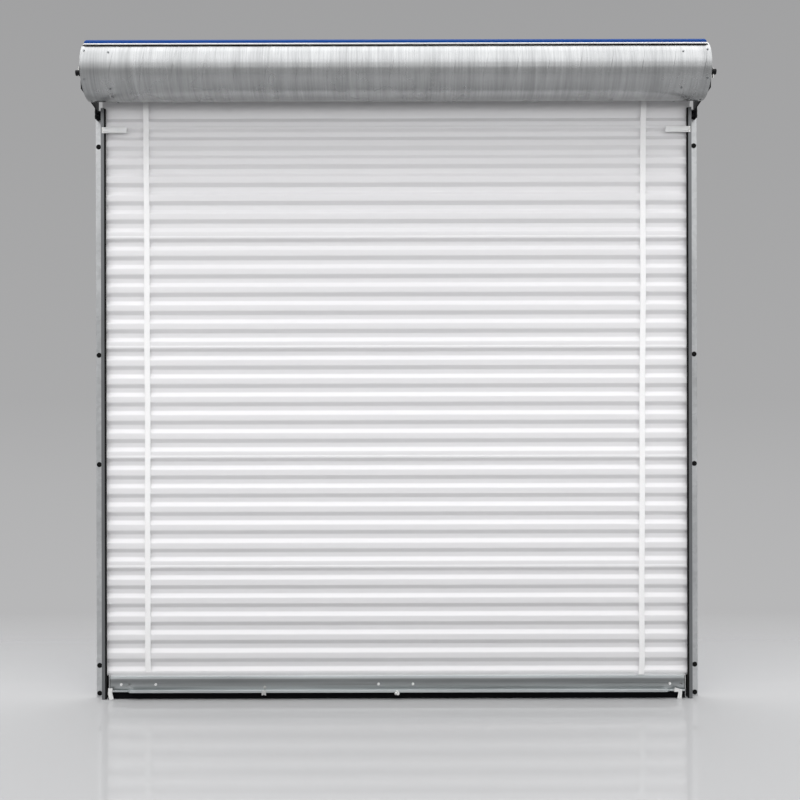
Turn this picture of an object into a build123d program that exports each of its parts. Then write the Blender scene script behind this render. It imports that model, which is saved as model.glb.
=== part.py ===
"""Roll-up sheet door on its guides, brackets and sprung barrel, closed, in millimetres.

X runs across the door, Z up. The wall plane is on the +Y side and the barrel on the -Y side.
The origin is at the middle of the door on the floor, halfway between its front and its back.
Depths named "from the wall" are counted from the wall plane towards the barrel.
"""
import math
import os

from build123d import *

os.makedirs("parts", exist_ok=True)

# Curtain
CURTAIN_HALF_WIDTH = 1364.0
SHEET_THICKNESS = 0.6
PITCH = 85.0
SLOPE_HEIGHT = 18.0
VALLEY_HEIGHT = 22.0
CREST_HEIGHT = PITCH - 2 * SLOPE_HEIGHT - VALLEY_HEIGHT
WAVE_DEPTH = 13.0
CURTAIN_BACK_FROM_WALL = 17.5
PITCHES_PER_SHEET = 6
SHEET_COUNT = 5
PITCHES_BELOW_LOWEST_SEAM = 5
LOWEST_CREST_TOP_ABOVE_BAR = 24.0
HEM_HEIGHT = 7.5
HEM_THICKNESS = 1.2
TAPE_WIDTH = 25.4
TAPE_THICKNESS = 1.5
TAPE_EDGE_DISTANCE = 212.0
LEFT_TAPE_ABOVE_BAR = 19.0
RIGHT_TAPE_ABOVE_BAR = 5.0

# Bottom bar and seal
BAR_END_DISTANCE = 28.0
BAR_BOTTOM_Z = 36.0
BAR_HEIGHT = 68.0
BAR_WALL = 2.5
BAR_LIP_REACH = 4.0
SEAL_GROOVE_HEIGHT = 11.0
SEAL_GROOVE_MOUTH = 8.0
SEAL_CLEARANCE = 0.3
SEAL_WIDTH = 24.0
SEAL_WALL = 4.0
FLANGE_REACH = 32.0
FLANGE_LIP_HEIGHT = 11.0
END_FLANGE_REACH = 17.0
END_FLANGE_LIP_HEIGHT = 8.0
FLANGE_LEFT_END_DISTANCE = 102.0
FLANGE_RIGHT_END_DISTANCE = 91.0
TONGUE_DEPTH_IN_BAR = 44.0
TONGUE_BEND_HEIGHT = 10.0

# Guides
GUIDE_TOP_ABOVE_SEAM = 81.5
GUIDE_METAL = 1.5
GUIDE_DEPTH = 45.0
GUIDE_SIDE_CLEARANCE = 2.5
GUIDE_LIP_WIDTH = 15.0
GUIDE_FLANGE_WIDTH = 36.0
WEAR_STRIP_OVERHANG = 6.0
WEAR_STRIP_CLEARANCE = 2.0
WEAR_STRIP_END_GAP = 2.0
WEAR_STRIP_SIDE_GAP = 0.5
ANCHOR_HOLE_RADIUS = 9.0
ANCHOR_HOLE_EDGE_DISTANCE = 14.0
FOOT_HOLE_Z = 18.0
LOW_ANCHOR_HOLE_HEIGHTS = (148.0, 1086.0, 1597.0)
TOP_ANCHOR_HOLE_DISTANCE = 170.0

# Barrel and axle
BARREL_RADIUS = 127.0
BARREL_END_OVERHANG = 21.0
BARREL_WALL = 1.2
BARREL_FROM_WALL = 49.0
BARREL_BELOW_GUIDE_TOP = 7.0
AXLE_RADIUS = 12.7
AXLE_WALL = 4.0
AXLE_END_OVERHANG = 46.0
FIT_CLEARANCE = 0.3
SEAT_CLEARANCE = 0.1

# Wheels inside the barrel
WHEEL_METAL = 3.0
WHEEL_RIM_LENGTH = 24.0
DRUM_WHEEL_RECESS = 3.0
WHEEL_HUB_RADIUS = 34.0
WHEEL_HUB_LENGTH = 24.0
WHEEL_WINDOW_RADIUS = 22.0
WHEEL_WINDOW_COUNT = 6
BEARING_RADIUS = 26.0
BEARING_WIDTH = 15.0
BEARING_GROOVE_DEPTH = 1.5
BEARING_GROOVE_MARGIN = 3.0
WINDING_WHEEL_INSET = 123.0
WINDING_BORE_RADIUS = 20.0
SCREW_HEAD_RADIUS = 4.5
SCREW_HEAD_HEIGHT = 2.5
SCREW_SHANK_RADIUS = 2.5
SCREW_HOLE_CLEARANCE = 0.2
DRUM_SCREW_COUNT = 6
DRUM_SCREW_START_ANGLE = 30.0
WINDING_SCREW_ANGLES = (25.0, -50.0, -110.0, -160.0)

# Springs
SPRING_WIRE_RADIUS = 3.5
SPRING_MEAN_RADIUS = 34.0
SPRING_PITCH = 12.0
SPRING_TURNS = 20
SPRING_END_GAP = 0.5
ANCHOR_COLLAR_RADIUS = 40.0
ANCHOR_COLLAR_WIDTH = 16.0
SPRING_NOSE_LENGTH = 30.0
SET_SCREW_RADIUS = 4.0
SET_SCREW_HEAD_RADIUS = 6.5
SET_SCREW_HEAD_HEIGHT = 6.0

# Wrap of the curtain on the barrel
WRAP_GAP = 0.2
WRAP_FRONT_ANGLE = 47.0
WRAP_REAR_ANGLE = 180.0
EDGE_TRIM_WIDTH = 6.0
EDGE_TRIM_DROP = 8.0
CLAMP_STRIP_WIDTH = 16.0
CLAMP_STRIP_THICKNESS = 2.0
CLAMP_SCREW_COUNT = 9
CLAMP_SCREW_EDGE_DISTANCE = 64.0

# Brackets
BRACKET_THICKNESS = 5.0
BRACKET_BARREL_GAP = 4.0
BRACKET_SEAT_GAP = 1.0
TONGUE_OVERLAP = 50.0
TONGUE_FRONT_MARGIN = 3.0
ARM_ROOT_BELOW_GUIDE_TOP = 2.0
BRACKET_NOSE_FORWARD = 79.0
BRACKET_NOSE_DROP = 95.0
BRACKET_FRONT_FORWARD = 86.0
BRACKET_FRONT_RISE = 20.0
BRACKET_SHOULDER_FORWARD = 39.0
BRACKET_SHOULDER_RISE = 92.0
BRACKET_CREST_BACK = 106.0
BRACKET_TOP_RISE = 140.0
WINDOW_REAR_BACK = 114.0
WINDOW_FRONT_BACK = 30.0
WINDOW_BOTTOM_DROP = 99.0
WINDOW_FRONT_DROP = 88.0
WINDOW_TOP_DROP = 24.0
WALL_FLANGE_WIDTH = 40.0
WALL_FLANGE_DROP = 60.0
WALL_HOLE_RADIUS = 7.0
WALL_HOLE_RISES = (-20.0, 100.0)

# Cleats between the brackets and the guides
CLEAT_METAL = 3.0
CLEAT_WIDTH = 17.0
CLEAT_DEPTH = 37.0
CLEAT_HEIGHT = 40.0
CLEAT_RISE = 5.0
CLEAT_BOLT_RISES = (10.0, 30.0)
CLEAT_BOLT_FROM_WALL = 27.0
BOLT_RADIUS = 4.0
BOLT_HOLE_CLEARANCE = 0.4
HEX_RADIUS = 7.0
NUT_HEIGHT = 6.5
HEAD_HEIGHT = 5.3
BOLT_END_LENGTH = 2.0

# Collars and pins on the axle
COLLAR_RADIUS = 24.0
COLLAR_WIDTH = 14.0
END_PIN_INSET = 12.0
END_PIN_RADIUS = 4.0
END_PIN_SHORT_REACH = 3.0
END_PIN_LONG_REACH = 16.0

# Stop bars
STOP_LENGTH = 115.0
STOP_END_DISTANCE = 2.0
STOP_BELOW_GUIDE_TOP = 117.0
STOP_HEIGHT = 27.0
STOP_THICKNESS = 4.0
STOP_RIVET_END_DISTANCE = 5.0
STOP_RIVET_INSET = 7.0
STOP_RIVET_RADIUS = 2.0
STOP_RIVET_HEAD_RADIUS = 4.0
STOP_RIVET_HEAD_HEIGHT = 1.2

# Bolts and handles on the bottom bar
BAR_BOLT_RISE = 31.0
BAR_BOLT_RADIUS = 3.0
BAR_BOLT_HEAD_RADIUS = 6.0
BAR_BOLT_HEAD_HEIGHT = 3.5
BAR_NUT_RADIUS = 5.8
BAR_NUT_HEIGHT = 5.0
HANDLE_SPACING = 160.0
CENTRE_HANDLE_X = -7.0
LEFT_HANDLE_END_DISTANCE = 135.0
RIGHT_BOLT_END_DISTANCE = 71.0
BAR_SPARE_HOLE_RADIUS = 4.0
LEFT_SPARE_HOLE_END_DISTANCE = 93.0
RIGHT_SPARE_HOLE_END_DISTANCE = 17.0
HANDLE_METAL = 4.0
HANDLE_WIDTH = 20.0
HANDLE_FOOT_LENGTH = 24.0
HANDLE_REACH = 34.0
HANDLE_BEND_RADIUS = 6.0

# Small pieces on the bottom bar
KNOT_LOBE_RADIUS = 8.0
KNOT_LOBE_SINK = 3.0
KNOT_LOBE_RISES = ((-5.0, 7.0), (-8.0, -5.0), (5.0, -8.0))
CLIP_X = -615.0
CLIP_HALF_WIDTH = 10.0
CLIP_METAL = 2.0
CLIP_DROP = 13.0
CLIP_NOTCH_HEIGHT = 5.0
CLIP_SCREW_RISE = 16.0
CLIP_SCREW_RADIUS = 7.0
CLIP_SCREW_HEIGHT = 3.0
TAB_WIDTH = 20.0
TAB_METAL = 3.0
LEFT_TAB_STEPS = ((10.0, 18.0), (8.0, -6.0), (15.0, -35.0))
RIGHT_TAB_STEPS = ((54.0, 7.0), (27.0, 2.0), (31.0, -35.0))

OVERRUN = 20.0

# Places worked out from the sizes above
HANDLE_BACK_FROM_WALL = CURTAIN_BACK_FROM_WALL - BAR_WALL - HANDLE_REACH
AXLE_FROM_WALL = BARREL_FROM_WALL + BARREL_RADIUS
WALL_Y = (AXLE_FROM_WALL + BARREL_RADIUS + HANDLE_BACK_FROM_WALL) / 2
AXLE_Y = WALL_Y - AXLE_FROM_WALL
CREST_FROM_WALL = CURTAIN_BACK_FROM_WALL + WAVE_DEPTH
VALLEY_FROM_WALL = CURTAIN_BACK_FROM_WALL + SHEET_THICKNESS
CENTRE_FROM_WALL = CURTAIN_BACK_FROM_WALL + WAVE_DEPTH / 2
TAPE_X = CURTAIN_HALF_WIDTH - TAPE_EDGE_DISTANCE

BAR_HALF_LENGTH = CURTAIN_HALF_WIDTH - BAR_END_DISTANCE
BAR_TOP_Z = BAR_BOTTOM_Z + BAR_HEIGHT
BAR_BACK_FROM_WALL = CURTAIN_BACK_FROM_WALL - BAR_WALL
BAR_FRONT_FROM_WALL = CREST_FROM_WALL + BAR_WALL
BAR_BOLT_Z = BAR_BOTTOM_Z + BAR_BOLT_RISE
FLANGE_FRONT_FROM_WALL = BAR_FRONT_FROM_WALL + FLANGE_REACH
END_FLANGE_FRONT_FROM_WALL = BAR_FRONT_FROM_WALL + END_FLANGE_REACH
FLANGE_LEFT_END_X = FLANGE_LEFT_END_DISTANCE - BAR_HALF_LENGTH
FLANGE_RIGHT_END_X = BAR_HALF_LENGTH - FLANGE_RIGHT_END_DISTANCE
LEFT_HANDLE_X = LEFT_HANDLE_END_DISTANCE - BAR_HALF_LENGTH
RIGHT_BOLT_X = BAR_HALF_LENGTH - RIGHT_BOLT_END_DISTANCE
BAR_SPARE_HOLES_X = (LEFT_SPARE_HOLE_END_DISTANCE - BAR_HALF_LENGTH,
                     BAR_HALF_LENGTH - RIGHT_SPARE_HOLE_END_DISTANCE)

LOWEST_CREST_TOP_Z = BAR_TOP_Z + LOWEST_CREST_TOP_ABOVE_BAR
SEAM_HEIGHTS = [
    LOWEST_CREST_TOP_Z + PITCH * (PITCHES_BELOW_LOWEST_SEAM + PITCHES_PER_SHEET * index)
    + VALLEY_HEIGHT + 2 * SLOPE_HEIGHT + HEM_HEIGHT
    for index in range(SHEET_COUNT)
]
GUIDE_HEIGHT = SEAM_HEIGHTS[-1] + GUIDE_TOP_ABOVE_SEAM
WEB_INNER_X = CURTAIN_HALF_WIDTH + GUIDE_SIDE_CLEARANCE
WEB_OUTER_X = WEB_INNER_X + GUIDE_METAL
LIP_INNER_X = WEB_OUTER_X - GUIDE_LIP_WIDTH
FLANGE_OUTER_X = WEB_OUTER_X + GUIDE_FLANGE_WIDTH
FLANGE_THICKNESS = 2 * GUIDE_METAL
ANCHOR_HOLE_X = FLANGE_OUTER_X - ANCHOR_HOLE_EDGE_DISTANCE
ANCHOR_HOLE_HEIGHTS = (FOOT_HOLE_Z, *LOW_ANCHOR_HOLE_HEIGHTS, GUIDE_HEIGHT - TOP_ANCHOR_HOLE_DISTANCE)
WEAR_STRIP_INNER_X = LIP_INNER_X - WEAR_STRIP_OVERHANG
STOP_OUTER_X = CURTAIN_HALF_WIDTH - STOP_END_DISTANCE
STOP_INNER_X = STOP_OUTER_X - STOP_LENGTH
STOP_RIVET_X = STOP_OUTER_X - STOP_RIVET_END_DISTANCE
STOP_BOTTOM_Z = GUIDE_HEIGHT - STOP_BELOW_GUIDE_TOP

AXLE_Z = GUIDE_HEIGHT - BARREL_BELOW_GUIDE_TOP + BARREL_RADIUS
BARREL_HALF_LENGTH = CURTAIN_HALF_WIDTH + BARREL_END_OVERHANG
WRAP_INNER_RADIUS = BARREL_RADIUS + WRAP_GAP
WRAP_OUTER_RADIUS = WRAP_INNER_RADIUS + WAVE_DEPTH
WRAP_MEAN_RADIUS = (WRAP_INNER_RADIUS + WRAP_OUTER_RADIUS) / 2
DRUM_WHEEL_X = BARREL_HALF_LENGTH - DRUM_WHEEL_RECESS - WHEEL_RIM_LENGTH / 2
WINDING_WHEEL_X = BARREL_HALF_LENGTH - WINDING_WHEEL_INSET
WHEEL_RIM_RADIUS = BARREL_RADIUS - BARREL_WALL - WRAP_GAP
SPRING_NOSE_RADIUS = SPRING_MEAN_RADIUS - SPRING_WIRE_RADIUS - FIT_CLEARANCE
SPRING_START_X = WINDING_WHEEL_X - WHEEL_HUB_LENGTH / 2 - SPRING_WIRE_RADIUS - SPRING_END_GAP
SPRING_LENGTH = SPRING_PITCH * SPRING_TURNS
SPRING_END_X = SPRING_START_X - SPRING_LENGTH

BRACKET_X = BARREL_HALF_LENGTH + BRACKET_BARREL_GAP
BRACKET_OUTER_X = BRACKET_X + BRACKET_THICKNESS
WALL_HOLE_X = BRACKET_OUTER_X + WALL_FLANGE_WIDTH / 2
WALL_HOLE_HEIGHTS = [AXLE_Z + rise for rise in WALL_HOLE_RISES]
TONGUE_BOTTOM_Z = GUIDE_HEIGHT - TONGUE_OVERLAP
CLEAT_BOTTOM_Z = TONGUE_BOTTOM_Z + CLEAT_RISE
CLEAT_BOLT_HEIGHTS = [CLEAT_BOTTOM_Z + rise for rise in CLEAT_BOLT_RISES]
AXLE_HALF_LENGTH = BRACKET_OUTER_X + AXLE_END_OVERHANG
END_PIN_X = AXLE_HALF_LENGTH - END_PIN_INSET


def at(x, from_wall, z):
    """A point given by its depth from the wall."""
    return Vector(x, WALL_Y - from_wall, z)


def block(x_low, x_high, depth_low, depth_high, z_low, z_high):
    """A box between two values of X, of the depth from the wall and of Z."""
    centre = at((x_low + x_high) / 2, (depth_low + depth_high) / 2, (z_low + z_high) / 2)
    return Pos(*centre) * Box(x_high - x_low, depth_high - depth_low, z_high - z_low)


def sided(side, x_inner, x_outer, depth_low, depth_high, z_low, z_high):
    """The same on one side of the door, where side is -1 or 1."""
    low, high = sorted((side * x_inner, side * x_outer))
    return block(low, high, depth_low, depth_high, z_low, z_high)


def across(points, x_low, x_high):
    """An outline of (depth from the wall, z) points drawn out along X."""
    wire = Wire.make_polygon([at(x_low, depth, z) for depth, z in points], close=True)
    return Solid.extrude(Face(wire), Vector(x_high - x_low, 0, 0))


def facing(points, depth_low, depth_high):
    """An outline of (x, z) points drawn out from one depth to another."""
    wire = Wire.make_polygon([at(x, depth_low, z) for x, z in points], close=True)
    return Solid.extrude(Face(wire), Vector(0, depth_low - depth_high, 0))


def rod_x(x_low, x_high, from_wall, z, radius):
    """A round bar along X."""
    centre = at((x_low + x_high) / 2, from_wall, z)
    return Pos(*centre) * Rot(0, 90, 0) * Cylinder(radius, abs(x_high - x_low))


def rod_y(x, depth_low, depth_high, z, radius):
    """A round bar square to the wall."""
    centre = at(x, (depth_low + depth_high) / 2, z)
    return Pos(*centre) * Rot(90, 0, 0) * Cylinder(radius, depth_high - depth_low)


def hexagon_x(x_low, x_high, from_wall, z, radius):
    """A hexagonal bar along X."""
    section = Plane(origin=at(x_low, from_wall, z), z_dir=(1, 0, 0)) * RegularPolygon(radius, 6)
    return extrude(section, x_high - x_low)


def hexagon_y(x, depth_low, depth_high, z, radius):
    """A hexagonal bar square to the wall."""
    section = Plane(origin=at(x, depth_high, z), z_dir=(0, 1, 0)) * RegularPolygon(radius, 6)
    return extrude(section, depth_high - depth_low)


def on_axle(x, angle, radius, shape):
    """A shape that stands along Z, moved out from the axle at an angle above the front."""
    return Pos(x, AXLE_Y, AXLE_Z) * Rot(90 - angle, 0, 0) * Pos(0, 0, radius) * shape


def save(name, *solids):
    """One file for one sub-part, which may be a group of separate solids."""
    pieces = []
    for solid in solids:
        pieces.extend(solid.solids())
    shape = pieces[0] if len(pieces) == 1 else Compound(children=pieces)
    shape.label = name
    export_step(shape, f"parts/{name}.step")


def guide(side):
    """Folded channel with a doubled flange on the wall and its anchor holes."""
    body = sided(side, LIP_INNER_X, WEB_OUTER_X, 0, GUIDE_METAL, 0, GUIDE_HEIGHT)
    body += sided(side, WEB_INNER_X, WEB_OUTER_X, 0, GUIDE_DEPTH, 0, GUIDE_HEIGHT)
    body += sided(side, LIP_INNER_X, WEB_OUTER_X, GUIDE_DEPTH - GUIDE_METAL, GUIDE_DEPTH,
                  0, GUIDE_HEIGHT)
    body += sided(side, WEB_OUTER_X, FLANGE_OUTER_X, 0, FLANGE_THICKNESS, 0, GUIDE_HEIGHT)
    for height in ANCHOR_HOLE_HEIGHTS:
        body -= rod_y(side * ANCHOR_HOLE_X, -OVERRUN, OVERRUN, height, ANCHOR_HOLE_RADIUS)
    for height in stop_rivet_heights():
        body -= stop_rivet_cut(side, height)
    return body


def wear_strips(side):
    """The two strips that line the channel, one behind each lip."""
    low = WEAR_STRIP_END_GAP
    high = GUIDE_HEIGHT - WEAR_STRIP_END_GAP
    outer = WEB_INNER_X - WEAR_STRIP_SIDE_GAP
    front_face = CREST_FROM_WALL + WEAR_STRIP_CLEARANCE
    rear_face = CURTAIN_BACK_FROM_WALL - WEAR_STRIP_CLEARANCE
    front = sided(side, WEAR_STRIP_INNER_X, LIP_INNER_X, front_face, GUIDE_DEPTH, low, high)
    front += sided(side, LIP_INNER_X, outer, front_face, GUIDE_DEPTH - GUIDE_METAL, low, high)
    rear = sided(side, WEAR_STRIP_INNER_X, LIP_INNER_X, 0, rear_face, low, high)
    rear += sided(side, LIP_INNER_X, outer, GUIDE_METAL, rear_face, low, high)
    return front, rear


def bracket(side):
    """Head plate with its tongue on the guide, the window over its arm and the wall flange."""
    seat = GUIDE_HEIGHT + BRACKET_SEAT_GAP
    tongue_front = GUIDE_DEPTH + TONGUE_FRONT_MARGIN
    outline = [
        (FLANGE_THICKNESS, TONGUE_BOTTOM_Z),
        (tongue_front, TONGUE_BOTTOM_Z),
        (tongue_front, GUIDE_HEIGHT - ARM_ROOT_BELOW_GUIDE_TOP),
        (AXLE_FROM_WALL + BRACKET_NOSE_FORWARD, AXLE_Z - BRACKET_NOSE_DROP),
        (AXLE_FROM_WALL + BRACKET_FRONT_FORWARD, AXLE_Z + BRACKET_FRONT_RISE),
        (AXLE_FROM_WALL + BRACKET_SHOULDER_FORWARD, AXLE_Z + BRACKET_SHOULDER_RISE),
        (AXLE_FROM_WALL - BRACKET_CREST_BACK, AXLE_Z + BRACKET_TOP_RISE),
        (0, AXLE_Z + BRACKET_TOP_RISE),
        (0, seat),
        (FLANGE_THICKNESS, seat),
    ]
    window = [
        (AXLE_FROM_WALL - WINDOW_REAR_BACK, AXLE_Z - WINDOW_BOTTOM_DROP),
        (AXLE_FROM_WALL - WINDOW_FRONT_BACK, AXLE_Z - WINDOW_FRONT_DROP),
        (AXLE_FROM_WALL - WINDOW_REAR_BACK, AXLE_Z - WINDOW_TOP_DROP),
    ]
    inner, outer = sorted((side * BRACKET_X, side * BRACKET_OUTER_X))
    plate = across(outline, inner, outer)
    plate -= across(window, inner - OVERRUN, outer + OVERRUN)
    plate += sided(side, BRACKET_OUTER_X, BRACKET_OUTER_X + WALL_FLANGE_WIDTH,
                   0, BRACKET_THICKNESS, AXLE_Z - WALL_FLANGE_DROP, AXLE_Z + BRACKET_TOP_RISE)
    plate -= rod_x(inner - OVERRUN, outer + OVERRUN, AXLE_FROM_WALL, AXLE_Z,
                   AXLE_RADIUS + FIT_CLEARANCE)
    for height in CLEAT_BOLT_HEIGHTS:
        plate -= rod_x(inner - OVERRUN, outer + OVERRUN, CLEAT_BOLT_FROM_WALL, height,
                       BOLT_RADIUS + BOLT_HOLE_CLEARANCE)
    for height in WALL_HOLE_HEIGHTS:
        plate -= rod_y(side * WALL_HOLE_X, -OVERRUN, OVERRUN, height, WALL_HOLE_RADIUS)
    return plate


def cleat(side):
    """Angle between the guide's flange and the bracket's tongue."""
    top = CLEAT_BOTTOM_Z + CLEAT_HEIGHT
    body = sided(side, BRACKET_X - CLEAT_WIDTH, BRACKET_X, FLANGE_THICKNESS,
                 FLANGE_THICKNESS + CLEAT_METAL, CLEAT_BOTTOM_Z, top)
    body += sided(side, BRACKET_X - CLEAT_METAL, BRACKET_X, FLANGE_THICKNESS,
                  FLANGE_THICKNESS + CLEAT_DEPTH, CLEAT_BOTTOM_Z, top)
    for height in CLEAT_BOLT_HEIGHTS:
        body -= rod_x(side * (BRACKET_X - OVERRUN), side * (BRACKET_X + OVERRUN),
                      CLEAT_BOLT_FROM_WALL, height, BOLT_RADIUS + BOLT_HOLE_CLEARANCE)
    return body


def cleat_bolt(side, height):
    """Hexagon bolt through a tongue and its cleat, head outside."""
    nut_face = BRACKET_X - CLEAT_METAL
    end = nut_face - NUT_HEIGHT - BOLT_END_LENGTH
    head_low, head_high = sorted((side * BRACKET_OUTER_X, side * (BRACKET_OUTER_X + HEAD_HEIGHT)))
    bolt = hexagon_x(head_low, head_high, CLEAT_BOLT_FROM_WALL, height, HEX_RADIUS)
    bolt += rod_x(side * end, side * BRACKET_OUTER_X, CLEAT_BOLT_FROM_WALL, height, BOLT_RADIUS)
    return bolt


def cleat_nut(side, height):
    """Nut on the inside of a cleat."""
    nut_face = BRACKET_X - CLEAT_METAL
    low, high = sorted((side * (nut_face - NUT_HEIGHT), side * nut_face))
    nut = hexagon_x(low, high, CLEAT_BOLT_FROM_WALL, height, HEX_RADIUS)
    return nut - rod_x(low - OVERRUN, high + OVERRUN, CLEAT_BOLT_FROM_WALL, height, BOLT_RADIUS)


def axle():
    """Dead axle, a tube through both brackets, with the holes for its end pins."""
    body = rod_x(-AXLE_HALF_LENGTH, AXLE_HALF_LENGTH, AXLE_FROM_WALL, AXLE_Z, AXLE_RADIUS)
    body -= rod_x(-AXLE_HALF_LENGTH - OVERRUN, AXLE_HALF_LENGTH + OVERRUN, AXLE_FROM_WALL, AXLE_Z,
                  AXLE_RADIUS - AXLE_WALL)
    for side in (-1, 1):
        body -= on_axle(side * END_PIN_X, 90, 0,
                        Cylinder(END_PIN_RADIUS + FIT_CLEARANCE / 2, 2 * AXLE_RADIUS + OVERRUN))
    return body


def axle_end_pin(side):
    """Pin through the end of the axle that keeps it from drifting sideways."""
    length = 2 * AXLE_RADIUS + END_PIN_SHORT_REACH + END_PIN_LONG_REACH
    middle = (END_PIN_LONG_REACH - END_PIN_SHORT_REACH) / 2
    angle = 90 if side < 0 else -90
    return on_axle(side * END_PIN_X, angle, middle, Cylinder(END_PIN_RADIUS, length))


def axle_collar(side):
    """Collar on the outside of a bracket."""
    low, high = sorted((side * BRACKET_OUTER_X, side * (BRACKET_OUTER_X + COLLAR_WIDTH)))
    collar = rod_x(low, high, AXLE_FROM_WALL, AXLE_Z, COLLAR_RADIUS)
    collar -= rod_x(low - OVERRUN, high + OVERRUN, AXLE_FROM_WALL, AXLE_Z,
                    AXLE_RADIUS + FIT_CLEARANCE)
    return collar - set_screw_hole((low + high) / 2, COLLAR_RADIUS)


def set_screw_hole(x, collar_radius):
    """Cutter for the set screw of a collar on the axle."""
    length = collar_radius - AXLE_RADIUS + OVERRUN
    return on_axle(x, -90, AXLE_RADIUS + length / 2, Cylinder(SET_SCREW_RADIUS, length))


def set_screw(x, collar_radius):
    """Set screw with a square head, from below onto the axle."""
    shank = collar_radius - AXLE_RADIUS
    screw = on_axle(x, -90, AXLE_RADIUS + shank / 2, Cylinder(SET_SCREW_RADIUS, shank))
    head = Box(SET_SCREW_HEAD_RADIUS, SET_SCREW_HEAD_RADIUS, SET_SCREW_HEAD_HEIGHT)
    return screw + on_axle(x, -90, collar_radius + SET_SCREW_HEAD_HEIGHT / 2, head)


def stop_rivet_heights():
    """Heights of the rivets of a stop bar."""
    return STOP_BOTTOM_Z + STOP_RIVET_INSET, STOP_BOTTOM_Z + STOP_HEIGHT - STOP_RIVET_INSET


def stop_rivet_cut(side, height):
    """Cutter for a rivet through a stop bar and the guide's lip."""
    return rod_y(side * STOP_RIVET_X, GUIDE_DEPTH - GUIDE_METAL - SEAT_CLEARANCE,
                 GUIDE_DEPTH + OVERRUN, height, STOP_RIVET_RADIUS + SEAT_CLEARANCE)


def stop_bar(side):
    """Bar on the guide's front lip that the end of the bottom bar meets."""
    bar = sided(side, STOP_INNER_X, STOP_OUTER_X, GUIDE_DEPTH, GUIDE_DEPTH + STOP_THICKNESS,
                STOP_BOTTOM_Z, STOP_BOTTOM_Z + STOP_HEIGHT)
    for height in stop_rivet_heights():
        bar -= stop_rivet_cut(side, height)
    return bar


def stop_rivet(side, height):
    """Rivet that holds a stop bar to the lip."""
    face = GUIDE_DEPTH + STOP_THICKNESS
    rivet = rod_y(side * STOP_RIVET_X, face, face + STOP_RIVET_HEAD_HEIGHT, height,
                  STOP_RIVET_HEAD_RADIUS)
    return rivet + rod_y(side * STOP_RIVET_X, GUIDE_DEPTH - GUIDE_METAL, face, height,
                         STOP_RIVET_RADIUS)


def barrel_tube():
    """Round barrel that the curtain winds on."""
    tube = rod_x(-BARREL_HALF_LENGTH, BARREL_HALF_LENGTH, AXLE_FROM_WALL, AXLE_Z, BARREL_RADIUS)
    tube -= rod_x(-BARREL_HALF_LENGTH - OVERRUN, BARREL_HALF_LENGTH + OVERRUN, AXLE_FROM_WALL,
                  AXLE_Z, BARREL_RADIUS - BARREL_WALL)
    for side in (-1, 1):
        for angle in drum_screw_angles():
            tube -= screw_cut(side * DRUM_WHEEL_X, angle)
        for angle in WINDING_SCREW_ANGLES:
            tube -= screw_cut(side * WINDING_WHEEL_X, angle)
    for x in clamp_screw_places():
        tube -= screw_cut(x, first_valley())
    return tube


def drum_screw_angles():
    """Angles of the screws around a drum wheel."""
    step = 360 / DRUM_SCREW_COUNT
    return [DRUM_SCREW_START_ANGLE + step * index for index in range(DRUM_SCREW_COUNT)]


def screw_cut(x, angle):
    """Cutter for one screw through the barrel wall and what lies close to it."""
    radius = SCREW_SHANK_RADIUS + SCREW_HOLE_CLEARANCE
    return on_axle(x, angle, BARREL_RADIUS, Cylinder(radius, OVERRUN))


def barrel_screw(x, angle, head_seat, shank_end):
    """Round-headed screw square to the axle, from its head's seat in to the end of its shank."""
    length = head_seat - shank_end
    screw = on_axle(x, angle, shank_end + length / 2, Cylinder(SCREW_SHANK_RADIUS, length))
    head = Cylinder(SCREW_HEAD_RADIUS, SCREW_HEAD_HEIGHT)
    return screw + on_axle(x, angle, head_seat + SCREW_HEAD_HEIGHT / 2, head)


def wheel_screw(x, angle):
    """Screw through the barrel into a wheel's rim."""
    return barrel_screw(x, angle, BARREL_RADIUS, WHEEL_RIM_RADIUS - WHEEL_METAL)


def wheel(x, bore, angles):
    """Pressed wheel inside the barrel: rim, web with windows, hub with a bore."""
    low, high = x - WHEEL_RIM_LENGTH / 2, x + WHEEL_RIM_LENGTH / 2
    body = rod_x(low, high, AXLE_FROM_WALL, AXLE_Z, WHEEL_RIM_RADIUS)
    body -= rod_x(low - OVERRUN, high + OVERRUN, AXLE_FROM_WALL, AXLE_Z,
                  WHEEL_RIM_RADIUS - WHEEL_METAL)
    body += rod_x(x - WHEEL_METAL / 2, x + WHEEL_METAL / 2, AXLE_FROM_WALL, AXLE_Z,
                  WHEEL_RIM_RADIUS - WHEEL_METAL / 2)
    body += rod_x(x - WHEEL_HUB_LENGTH / 2, x + WHEEL_HUB_LENGTH / 2, AXLE_FROM_WALL, AXLE_Z,
                  WHEEL_HUB_RADIUS)
    body -= rod_x(low - OVERRUN, high + OVERRUN, AXLE_FROM_WALL, AXLE_Z, bore)
    window_circle = (WHEEL_HUB_RADIUS + WHEEL_RIM_RADIUS) / 2
    for index in range(WHEEL_WINDOW_COUNT):
        angle = 360 / WHEEL_WINDOW_COUNT * index
        window = Rot(0, 90, 0) * Cylinder(WHEEL_WINDOW_RADIUS, WHEEL_HUB_LENGTH)
        body -= on_axle(x, angle, window_circle, window)
    for angle in angles:
        body -= screw_cut(x, angle)
    return body


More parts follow.
